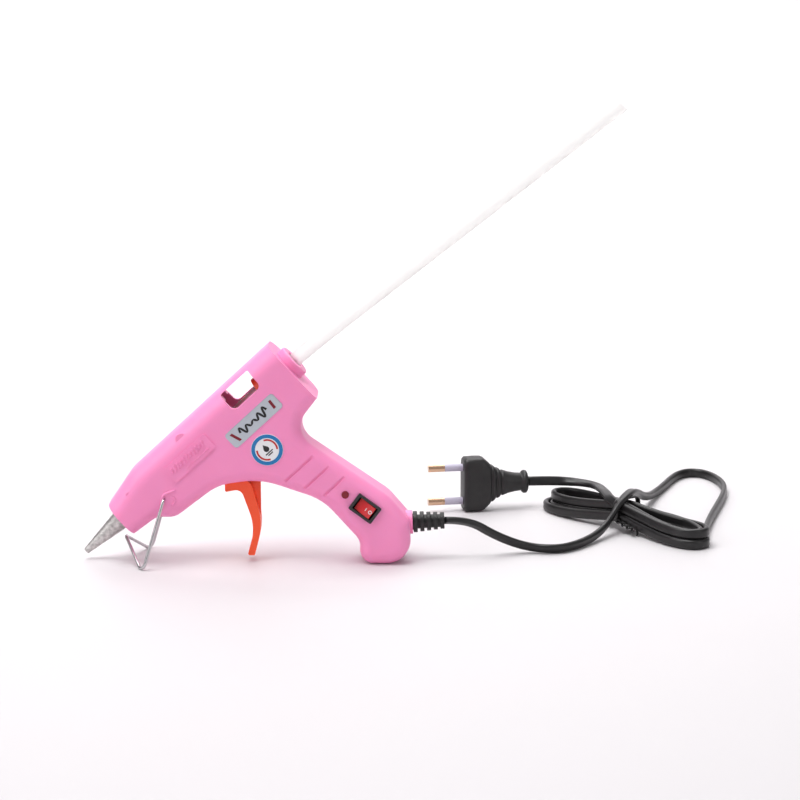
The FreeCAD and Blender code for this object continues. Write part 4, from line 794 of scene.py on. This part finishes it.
panelMarks = {
    "tip": (-133.4, 4.2), "along": 74.8, "above": 0.8, "face": -13.6, "proud": 0.6, "sunk": 0.05,
    "bevel": 0.12, "bevelSteps": 2, "strokes": 11, "strokeStart": -11.2, "strokePitch": 2.1,
    "strokeTall": 1.7, "strokeShort": 1.2, "shortEvery": 3, "strokeSlant": 0.5, "strokeLift": 1.2,
    "strokeWidth": 0.9, "dashes": 9, "dashStart": -4.0, "dashPitch": 1.7, "dashLength": 1.1,
    "dashLow": -2.9, "dashHigh": -2.3, "dashProud": 0.36,
}


def makePanelMarks():
    # raised plain strokes on the moulded panel
    lean = math.radians(sideMarks["lean"])
    along, above = panelMarks["along"], panelMarks["above"]
    x = panelMarks["tip"][0] + along * math.cos(lean) - above * math.sin(lean)
    z = panelMarks["tip"][1] + along * math.sin(lean) + above * math.cos(lean)
    surface = Surface(x, z, panelMarks["face"], sideMarks["lean"])
    points, faces = [], []
    lift, slant = panelMarks["strokeLift"], panelMarks["strokeSlant"]
    for step in range(panelMarks["strokes"]):
        spot = panelMarks["strokeStart"] + step * panelMarks["strokePitch"]
        tall = panelMarks["strokeTall"] if step % panelMarks["shortEvery"] else panelMarks["strokeShort"]
        line = [(spot - slant, lift - tall), (spot, lift), (spot + slant, lift + tall)]
        ribbon(surface, line, [panelMarks["strokeWidth"]] * len(line), -panelMarks["sunk"],
               panelMarks["proud"], points, faces)
    low, high = panelMarks["dashLow"], panelMarks["dashHigh"]
    for step in range(panelMarks["dashes"]):
        left = panelMarks["dashStart"] + step * panelMarks["dashPitch"]
        right = left + panelMarks["dashLength"]
        prism(surface, [(left, low), (right, low), (right, high), (left, high)], -panelMarks["sunk"],
              panelMarks["dashProud"], points, faces)
    strokes = meshPiece("panelStrokes", points, faces, "pinkPlastic", "housing")
    bevel = strokes.modifiers.new("bevel", "BEVEL")
    bevel.width = panelMarks["bevel"] * mm
    bevel.segments = panelMarks["bevelSteps"]
    bevel.limit_method = "ANGLE"


switchMarks = {
    "lean": -36.6, "centre": (8.0, 29.9), "lift": 0.06, "barAlong": 0.6, "barHalf": 0.17,
    "barTall": 0.8, "ringAlong": 3.1, "ringRadii": (0.62, 0.96), "ringTurn": 20, "clear": -50.0,
}


def layOnRocker(surface, outline, points):
    # drops an outline square to the side onto the rocker's near face
    for a, b in outline:
        x, _, z = surface.at(a, b, 0.0)
        start = Vector((x, switchMarks["clear"], z))
        _, place, _, _ = nodes["switch_rocker"].ray_cast(start * mm, Vector((0, 1, 0)))
        points.append((x, place.y / mm - switchMarks["lift"], z))
    return list(range(len(points) - len(outline), len(points)))


def makeSwitchMarks():
    # a short bar and a ring, printed on the rocker
    surface = Surface(*switchMarks["centre"], 0.0, switchMarks["lean"])
    left, right = (switchMarks["barAlong"] + side * switchMarks["barHalf"] for side in (-1, 1))
    tall = switchMarks["barTall"]
    points = []
    faces = [tuple(layOnRocker(surface, [(left, -tall), (right, -tall), (right, tall), (left, tall)],
                               points))]
    angles = [math.radians(turn) for turn in range(0, 360, switchMarks["ringTurn"])]
    inner, outer = (layOnRocker(surface, [(switchMarks["ringAlong"] + r * math.cos(a), r * math.sin(a))
                                          for a in angles], points) for r in switchMarks["ringRadii"])
    for spot in range(len(inner)):
        ahead = (spot + 1) % len(inner)
        faces.append((inner[spot], inner[ahead], outer[ahead], outer[spot]))
    marks = meshPiece("rockerMarks", points, faces, "whiteInk", "rocker", smooth=False)
    solid = marks.modifiers.new("thickness", "SOLIDIFY")
    solid.thickness = switchMarks["lift"] * mm


makePlate()
makeBadge()
makeRibs()
makePanelMarks()
makeSwitchMarks()
print("marks placed")


# floor and light
studio = {
    "floor": (214, 211, 213), "floorRoughness": 0.55, "world": (246, 244, 246), "worldStrength": 0.38,
    "size": 6000.0, "sweepStart": 900.0, "sweepRadius": 900.0, "sweepSteps": 24,
}


def makeStudio():
    # a seamless pale floor that curves up behind
    profile = [(-studio["size"] / 2, 0.0), (studio["sweepStart"], 0.0)]
    for step in range(1, studio["sweepSteps"] + 1):
        angle = math.pi / 2 * step / studio["sweepSteps"]
        profile.append((studio["sweepStart"] + studio["sweepRadius"] * math.sin(angle),
                        studio["sweepRadius"] * (1 - math.cos(angle))))
    profile.append((profile[-1][0], studio["size"]))
    points = [(x * mm, y * mm, z * mm) for y, z in profile for x in (-studio["size"], studio["size"])]
    faces = [(2 * row, 2 * row + 1, 2 * row + 3, 2 * row + 2) for row in range(len(profile) - 1)]
    mesh = bpy.data.meshes.new("floor")
    mesh.from_pydata(points, [], faces)
    mesh.polygons.foreach_set("use_smooth", [True] * len(faces))
    floor = bpy.data.objects.new("floor", mesh)
    bpy.context.scene.collection.objects.link(floor)
    material = bpy.data.materials.new("floor")
    material.use_nodes = True
    shader = material.node_tree.nodes["Principled BSDF"]
    shader.inputs["Base Color"].default_value = linear(studio["floor"])
    shader.inputs["Roughness"].default_value = studio["floorRoughness"]
    mesh.materials.append(material)
    world = bpy.data.worlds.new("studio")
    world.use_nodes = True
    world.node_tree.nodes["Background"].inputs["Color"].default_value = linear(studio["world"])
    world.node_tree.nodes["Background"].inputs["Strength"].default_value = studio["worldStrength"]
    bpy.context.scene.world = world


lamps = {
    "top": {"place": (-350, -150, 1500), "aim": (20, 60, 0), "size": 900, "power": 20.0},
    "left": {"place": (-1500, -700, 900), "aim": (0, 0, 60), "size": 900, "power": 8.5},
    "right": {"place": (1300, -1100, 700), "aim": (20, 0, 60), "size": 1000, "power": 3.6},
    "behind": {"place": (150, 900, 1100), "aim": (20, 100, 60), "size": 900, "power": 5.2},
    "backdrop": {"place": (0, 700, 1300), "aim": (0, 1700, 500), "size": 1200, "power": 16.0},
}


def makeLamps():
    for name, lamp in lamps.items():
        data = bpy.data.lights.new(name, "AREA")
        data.energy = lamp["power"]
        data.size = lamp["size"] * mm
        light = bpy.data.objects.new(name, data)
        place, aim = Vector(lamp["place"]), Vector(lamp["aim"])
        light.location = place * mm
        light.rotation_mode = "QUATERNION"
        light.rotation_quaternion = (aim - place).to_track_quat("-Z", "Y")
        bpy.context.scene.collection.objects.link(light)


makeStudio()
makeLamps()
print("studio lit")
